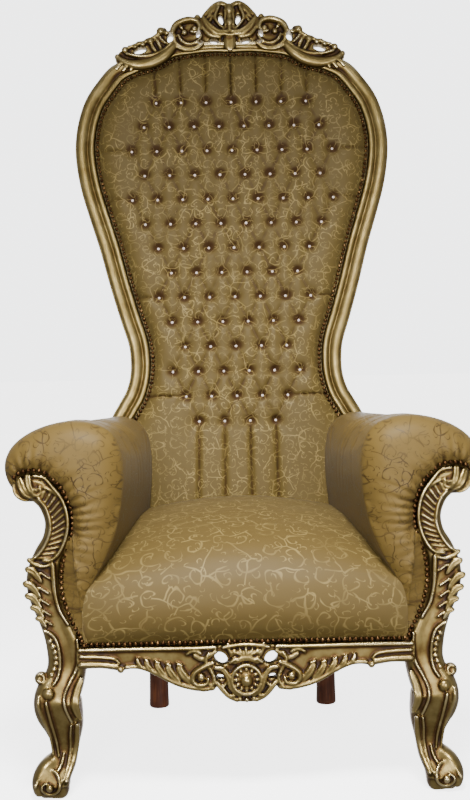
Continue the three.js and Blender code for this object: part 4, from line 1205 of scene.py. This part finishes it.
def outside_back():
    """A thin pad over the rear of the frame, a little domed, on a grid that follows the outline."""
    columns, rows = 60, 110
    inset = 7
    climb = stile_rows[:, :2] + stile_side * (stile_rows[:, 2:] - inset)
    over = crest_rows[:, :2] + crest_side * (crest_rows[:, 2:] - inset)
    s, t, x, up = back_grid(columns, rows, 6, climb, over)
    near = 1 - np.maximum(np.abs(s)[None, :] ** 10, np.maximum((1 - t) ** 30, t ** 30))
    rear = FRAME_DEPTH + TOUCH + 12 * np.clip(near, 0.05, 1) ** 0.6
    outer = np.stack([x, rear, up], 2).reshape(-1, 3)
    outer[:, 1] -= 0.4 * (1 + wavering(outer, 120, 5))
    inner = outer.copy()
    inner[:, 1] = FRAME_DEPTH + TOUCH
    points = np.vstack([outer, inner])
    start = len(outer)
    faces = [(a, *rest[::-1]) for a, *rest in sheet_faces(rows, columns)] + sheet_faces(rows, columns, start)
    rim = sheet_rim(rows, columns)
    for a, b in zip(rim, rim[1:] + rim[:1]):
        faces.append((a, b, start + b, start + a))
    return points, faces, points[:, [0, 2]] * 0.001


panel_points, panel_faces, panel_uv = outside_back()
panel = turn_outwards(new_piece("covered_outside_back", in_throne(panel_points), panel_faces, panel_uv))
upholster(panel, back_satin, "outside_back")

# Arms: rolled pads, round over the top and drawn in under the roll. The cloth is pleated round the
# front, and nailed along the back of the carved post.
ARM_FRONT = 16  # mm behind the toes
ARM_ROUND = (24, 54)  # mm, radius of the pad's front edge beside the seat and on the roll
ARM_POINTS = 220  # points round each section
INSIDE_POINTS = 88  # those of them on the inner side
NAILED = 46  # mm behind the toes, where the cloth is nailed to the post
EDGE_RUN = 0.055  # m of cloth from the middle of the front to its edge
SIDE_RUN = 0.5  # m of cloth from the front edge to the back frame
ARM_TAPER = 0.92  # below 1, the section changes sooner than evenly from front to rear
CREASES = ((0.42, 7, 0.05), (0.50, 8, 0.06), (0.58, 6, 0.05), (0.16, 3.5, -0.03))  # place, mm deep, lean
CREASE_WIDTH = 0.013  # share of the side
GATHER = 15  # mm from one gather of the front to the next
# Sections as [out from the foot, height], up the inside, over the roll, under it and down the outside.
arm_front = [(-73, 301), (-70, 372), (-82, 420), (-104, 457), (-128, 515), (-144, 590), (-149, 650),
             (-143, 702), (-118, 736), (-66, 751), (-14, 746), (36, 728), (72, 700), (87, 664), (78, 626),
             (48, 598), (14, 583), (2, 540), (4, 450), (8, 380), (9, 301)]
arm_rear = [(-152, 301), (-154, 372), (-161, 420), (-168, 460), (-175, 520), (-180, 590), (-178, 645),
            (-168, 690), (-144, 716), (-108, 729), (-78, 726), (-52, 708), (-38, 685), (-33, 660), (-38, 635),
            (-54, 618), (-72, 603), (-86, 560), (-94, 480), (-97, 400), (-99, 301)]
ARM_MIDDLE = (-40, 600)


def even(path, count):
    """A path resampled to even steps."""
    return points_at(path, np.linspace(0, lengths(path)[-1], count))


front_section = even(smooth(arm_front, 6), ARM_POINTS)
rear_section = even(smooth(arm_rear, 6), ARM_POINTS)


def back_face(z):
    """How far behind the toes the back frame's moulding stands at a height."""
    face = BACK_FOOT + (z - RAIL_TOP - TOUCH) * math.tan(LEAN)
    return face - PROUD / math.cos(LEAN) - TOUCH


def fullness(z):
    """How full the arm's front is at a height, from 0 beside the seat to 1 on the roll."""
    return np.clip((z - 400) / 140, 0, 1)


def front_edge(z):
    """The radius of the pad's front edge at a height."""
    return ARM_ROUND[0] + (ARM_ROUND[1] - ARM_ROUND[0]) * fullness(z)


def off_post(x, z):
    """Distance from the outline of the carved post."""
    far = np.hypot(x - HEAD[0], z - HEAD[1]) - HEAD_RADIUS
    for px, pz, half in even(post_rows[30:, :3], 160):
        far = np.minimum(far, np.hypot(x - px, z - pz) - half)
    return far


post_nails = smooth([(62, 643), (54, 650), (38, 656), (16, 656), (-2, 650), (-15, 638), (-29, 622),
                     (-40, 601), (-48, 577), (-50, 549), (-47, 522), (-40, 496), (-32, 476), (-27, 456),
                     (-26, 433), (-28, 407), (-34, 380), (-44, 352), (-58, 325), (-70, 306)], 6)
post_nails[:, 0] += POST_SPREAD


def off_nails(x, z):
    """Distance from the line of nails round the post, and how far along it the nearest point lies."""
    nearest, along = np.full(x.shape, 1e9), np.zeros(x.shape)
    start = 0
    for (ax, az), (bx, bz) in zip(post_nails, post_nails[1:]):
        length = math.hypot(bx - ax, bz - az)
        share = np.clip(((x - ax) * (bx - ax) + (z - az) * (bz - az)) / length ** 2, 0, 1)
        far = np.hypot(x - ax - share * (bx - ax), z - az - share * (bz - az))
        along = np.where(far < nearest, start + share * length, along)
        nearest = np.minimum(nearest, far)
        start += length
    return nearest, along


def front_gathers(x, z):
    """How far behind the toes the arm's front stands: sunk and gathered where it is nailed to the post."""
    far = off_post(x, z)
    dip = np.clip(1 - far / (22 + 20 * fullness(z)), 0, 1)
    swell = 1 - np.sqrt(np.clip(1 - dip ** 2, 0, 1))
    nearest, along = off_nails(x, z)
    notch = (0.5 + 0.5 * np.cos(along / GATHER * 2 * np.pi + 2.2 * np.sin(along / 31))) ** 1.4
    notch *= 0.75 + 0.25 * np.sin(along / 23)
    slow = np.sin(along / 48 * 2 * np.pi) * np.exp(-nearest / 40)
    return swell, (9 * notch * np.exp(-nearest / 28) + 2.5 * slow) * np.clip(far / 6, 0, 1)


def arm_rings():
    """Rings from the middle of the right arm's front, round its edge and back to the frame, the length
    of cloth run at each, and how many of them make the front."""
    middle = np.array(ARM_MIDDLE)
    rings, run = [], []
    for scale in 1 - (1 - np.linspace(0.04, 1, 44)) ** 1.7:
        ring = middle + (front_section - middle) * scale
        inside = np.linalg.norm(ring[:, None] - front_section[None], axis=2).min(1)
        radius = front_edge(ring[:, 1])
        turn = np.clip(1 - inside / radius, 0, 1)
        rings.append((ring, ARM_FRONT + radius * (1 - np.sqrt(1 - turn ** 2)) - 7 * (1 - scale ** 2)))
        run.append(EDGE_RUN)
    front_count = len(rings)
    for t in np.linspace(0, 1, 85)[1:]:
        ring = front_section + (rear_section - front_section) * t ** ARM_TAPER
        end = back_face(ring[:, 1])
        rings.append((ring, (ARM_FRONT + front_edge(front_section[:, 1])) * (1 - t) + end * t))
        run.append(EDGE_RUN + SIDE_RUN * t)
    points = np.array([np.stack([ring[:, 0] + POST_SPREAD, y, ring[:, 1]], 1) for ring, y in rings])
    return points, run, front_count


def arm_pad():
    """The right arm's cover with its gathers and creases: points, faces, cloth and shade."""
    points, run, front_count = arm_rings()
    centre = np.repeat(points[:, :, [0, 2]].mean(1), ARM_POINTS, axis=0)
    flat = points.reshape(-1, 3)
    swell, pleat = front_gathers(flat[:, 0], flat[:, 2])
    near = np.clip((NAILED - flat[:, 1]) / 25, 0, 1)
    flat[:, 1] += np.maximum(NAILED - flat[:, 1], 0) * swell + pleat * near
    long = np.tile(np.linspace(0, 1.06, ARM_POINTS), len(run))
    uv = np.stack([np.repeat(run, ARM_POINTS), long], 1)
    front = np.repeat(np.arange(len(run)) < front_count - 3, ARM_POINTS)
    uv[front] = (flat[front][:, [0, 2]] - (POST_SPREAD, 600)) * 0.001
    creases = np.zeros(len(flat))
    for where, depth, lean in CREASES:
        far = (uv[:, 0] - EDGE_RUN) / SIDE_RUN - where - lean * np.cos(2 * np.pi * long)
        over = np.clip(1 - np.abs(long - 0.5) / 0.22, 0, 1)
        creases += depth * np.exp(-np.abs(far) / CREASE_WIDTH) * over
    creases[front] = 0
    inward = centre - flat[:, [0, 2]]
    inward /= np.linalg.norm(inward, axis=1, keepdims=True)
    flat[:, [0, 2]] += inward * creases[:, None]
    held = (off_post(flat[:, 0], flat[:, 2]) < 10) & front
    held = held.reshape(points.shape[:2])
    held[:, [0, 1, 2, 3, -4, -3, -2, -1]] = True
    held[:2] = held[-8:] = True
    points += swelling(points, held, 4)
    return flat, skin(points)[1], uv, creases / 7 + np.where(front, np.clip(pleat, 0, None) / 14, 0)


arm_points, arm_faces, arm_uv, arm_shade = arm_pad()
# a shaded copy of the satin: its figure is painted dark as painted shade, where the sheen turns away, and its
# ground is painted paler than the back's as painted light
arm_satin = jacquard("satin_jacquard_arms", "#5a4821", "#30200c", "#2a1d0c", 36, 0.95)
arm_right = turn_outwards(new_piece("rolled_arm_right", arm_points, arm_faces, arm_uv))
arm_left = other_hand(arm_right, "rolled_arm_left")
upholster(arm_right, arm_satin, "arm_right", painted_shade=arm_shade)
upholster(arm_left, arm_satin, "arm_left", painted_shade=arm_shade)

# Seat: domed over springs, with a rolled front edge that hangs a little over the apron. Its cover runs
# from arm to arm and down behind the nails, in a larger figure of the same satin.
SEAT_CROWN = 240  # mm above the rail
SEAT_LINE = 28  # mm behind the toes, where the front edge starts to bow out
SIDE_DROP = 0.165  # share of its height that the seat loses 268 mm from the middle
# Profile from the apron to the back: [behind the toes, share of the crown].
seat_profile = smooth([(32, 0), (28, 0.06), (12.6, 0.16), (6, 0.34), (15.9, 0.52), (44, 0.68), (89, 0.81),
                       (164, 0.9), (274, 0.97), (404, 1), (514, 0.985), (600, 0.94)], 12)


def arm_inside(y, z):
    """How far from the middle the inner side of the arm stands."""
    start = ARM_FRONT + front_edge(z)
    share = np.clip((y - start) / (back_face(z) - start), 0, 1)
    front = np.interp(z, front_section[:INSIDE_POINTS, 1], front_section[:INSIDE_POINTS, 0])
    rear = np.interp(z, rear_section[:INSIDE_POINTS, 1], rear_section[:INSIDE_POINTS, 0])
    return POST_SPREAD + front + (rear - front) * share ** ARM_TAPER


def seat_pad():
    """The seat's cover as a grid from arm to arm, closed below."""
    profile = even(seat_profile * (1, SEAT_CROWN), 151)
    columns = 120
    s = np.linspace(-1, 1, columns + 1)
    y = profile[:, :1] + 0 * s
    x = s * 300 + 0 * y
    for _ in range(3):
        z = RAIL_TOP + TOUCH + profile[:, 1:] * (1 - SIDE_DROP * (x / 268) ** 2)
        x = s * (arm_inside(y, z) + 3)
    bow = (SEAT_LINE - y) * (1 - (np.abs(x) / 351) ** 4)
    y = np.where(y < SEAT_LINE, SEAT_LINE - bow, y)
    top = np.stack([x, y, z], 2)
    held = np.zeros(x.shape, bool)
    held[:8] = held[-6:] = True
    held[:, [0, 1, 2, -3, -2, -1]] = True
    top = top + swelling(top, held, 5)
    run = lengths(profile)[:, None]
    uv = np.stack([x * 0.001, run * 0.001 + 0 * x], 2).reshape(-1, 2)
    points = top.reshape(-1, 3)
    points[:, 2] += 1.2 * wavering(points, 90, 4) * np.repeat(profile[:, 1] > 40, columns + 1)
    points, faces, rim = closed(points, len(profile) - 1, columns, 2, RAIL_TOP + TOUCH)
    return points, faces, np.vstack([uv, uv[rim]])


seat_points, seat_faces, seat_uv = seat_pad()
seat = turn_outwards(new_piece("domed_seat", seat_points, seat_faces, seat_uv))
# the pale figure is partly a painted sheen, and the shade colour is painted into the folds
seat_satin = jacquard("satin_jacquard_seat", "#4f401e", "#30210d", "#887645", 50, 0.55)
upholster(seat, seat_satin, "seat")

# Nails: domed brass heads driven edge to edge along every seam between cloth and gilding: round the
# back, down the posts, along the apron and the side rails, and round the outside back.
NAIL_RADIUS = 5.2  # mm
NAIL_RISE = 3.6
NAIL_STEP = 10.8
nail_lots = []


def drive(path, aim, both=True):
    """Nails in even steps along a path of [x, y, z], with one aim, and if both on the left too."""
    path = np.asarray(path, float)
    count = max(2, int(round(lengths(path)[-1] / NAIL_STEP)))
    at, aims = even(path, count), np.tile(aim, (count, 1))
    nail_lots.append((at, aims))
    if both:
        nail_lots.append((at * (-1, 1, 1), aims * (-1, 1, 1)))


pad_edge = pad_outline[pad_outline[:, 1] > 330]
inward = pad_edge - across(pad_edge) * 5.4
nail_line = np.stack([inward[:, 0], 0 * inward[:, 0] - NAILED_EDGE[1] - 0.6, inward[:, 1]], 1)
drive(in_throne(nail_line), out_of_back)
sunk = front_gathers(post_nails[:, 0], post_nails[:, 1])[0]
low_down = np.clip((440 - post_nails[:, 1]) / 60, 0, 1)
nail_depth = ARM_FRONT + (NAILED - ARM_FRONT) * sunk - 5 - 8 * low_down
drive(np.stack([post_nails[:, 0], nail_depth, post_nails[:, 1]], 1), (0, -1, 0))
drive([(-318, 22, 306), (0, 20, 307), (318, 22, 306)], (0, -1, 0), both=False)
drive([(400, 92, 306), (344, 330, 306), (291, 560, 306)], (0.97, 0.22, 0))
outer_edge = frame_rows[:, :2] + frame_side * (frame_rows[:, 2:] - 12)
rear_line = np.stack([outer_edge[:, 0], 0 * outer_edge[:, 0] + FRAME_DEPTH + 8, outer_edge[:, 1]], 1)
drive(in_throne(rear_line), -out_of_back)
nail_points = np.vstack([at for at, _ in nail_lots])
nail_aims = np.vstack([aim for _, aim in nail_lots])
set_studs("upholstery_nails", dome_tree, nail_points, nail_aims, NAIL_RADIUS, NAIL_RISE, brass)

# Studio: a pale floor, a surround that is white behind the throne, soft lamps, and the camera where
# the photograph was taken.
CAMERA = (-0.0401, -2.706, 0.8802)
LENS = 53.3
YAW, PITCH, ROLL = math.radians(0.68), math.radians(2.26), -0.01905

floor_mesh = bpy.data.meshes.new("floor")
floor_mesh.from_pydata([(-40, -40, 0), (40, -40, 0), (40, 40, 0), (-40, 40, 0)], [], [(0, 1, 2, 3)])
floor = bpy.data.objects.new("floor", floor_mesh)
bpy.context.scene.collection.objects.link(floor)
pale = coat(new_finish("pale_floor")[0], {"Base Color": linear("#f4f4f4"), "Roughness": 0.9,
                                          "Emission Color": linear("#ffffff"), "Emission Strength": 3.4})
floor_mesh.materials.append(pale)
# its light falls on the picture alone, so that the lamps shape the throne
floor.visible_diffuse = floor.visible_glossy = False

world = bpy.data.worlds.new("surround")
bpy.context.scene.world = world
world.use_nodes = True
world.node_tree.nodes.clear()
sky = world.node_tree
way = add(sky, "ShaderNodeSeparateXYZ", {0: add(sky, "ShaderNodeTexCoord").outputs["Generated"]})
behind = ranged(sky, way.outputs[1], 0.8, 0.92, 0.55, 4.2)
soft = add(sky, "ShaderNodeBackground", {"Color": linear("#f4f5f6"), "Strength": behind})
add(sky, "ShaderNodeOutputWorld", {0: soft.outputs[0]})


def lamp(name, spot, target, size, power, spread=180):
    """A square soft box that faces its target; spread is the angle of its beam."""
    light = bpy.data.lights.new(name, "AREA")
    light.size = size
    light.energy = power
    light.spread = math.radians(spread)
    made = bpy.data.objects.new(name, light)
    made.location = spot
    made.rotation_mode = "QUATERNION"
    made.rotation_quaternion = (Vector(target) - Vector(spot)).to_track_quat("-Z", "Y")
    bpy.context.scene.collection.objects.link(made)


lamp("key", (-0.6, -2.9, 1.15), (0, 0, 1.1), 0.6, 69)
lamp("fill", (1.1, -2.8, 0.5), (0, 0, 0.7), 0.9, 42)
lamp("top", (0.0, -1.3, 2.4), (0, -0.12, 0.5), 0.6, 17, 60)

forward = Vector((math.sin(YAW) * math.cos(PITCH), math.cos(YAW) * math.cos(PITCH), -math.sin(PITCH)))
level = Vector((math.cos(YAW), -math.sin(YAW), 0))
upright = level.cross(forward)
right_way = math.cos(ROLL) * level + math.sin(ROLL) * upright
up_way = -math.sin(ROLL) * level + math.cos(ROLL) * upright
camera = bpy.data.objects.new("camera", bpy.data.cameras.new("camera"))
camera.data.lens = LENS
camera.matrix_world = Matrix.Translation(CAMERA) @ Matrix((right_way, up_way, -forward)).transposed().to_4x4()
bpy.context.scene.collection.objects.link(camera)
bpy.context.scene.camera = camera
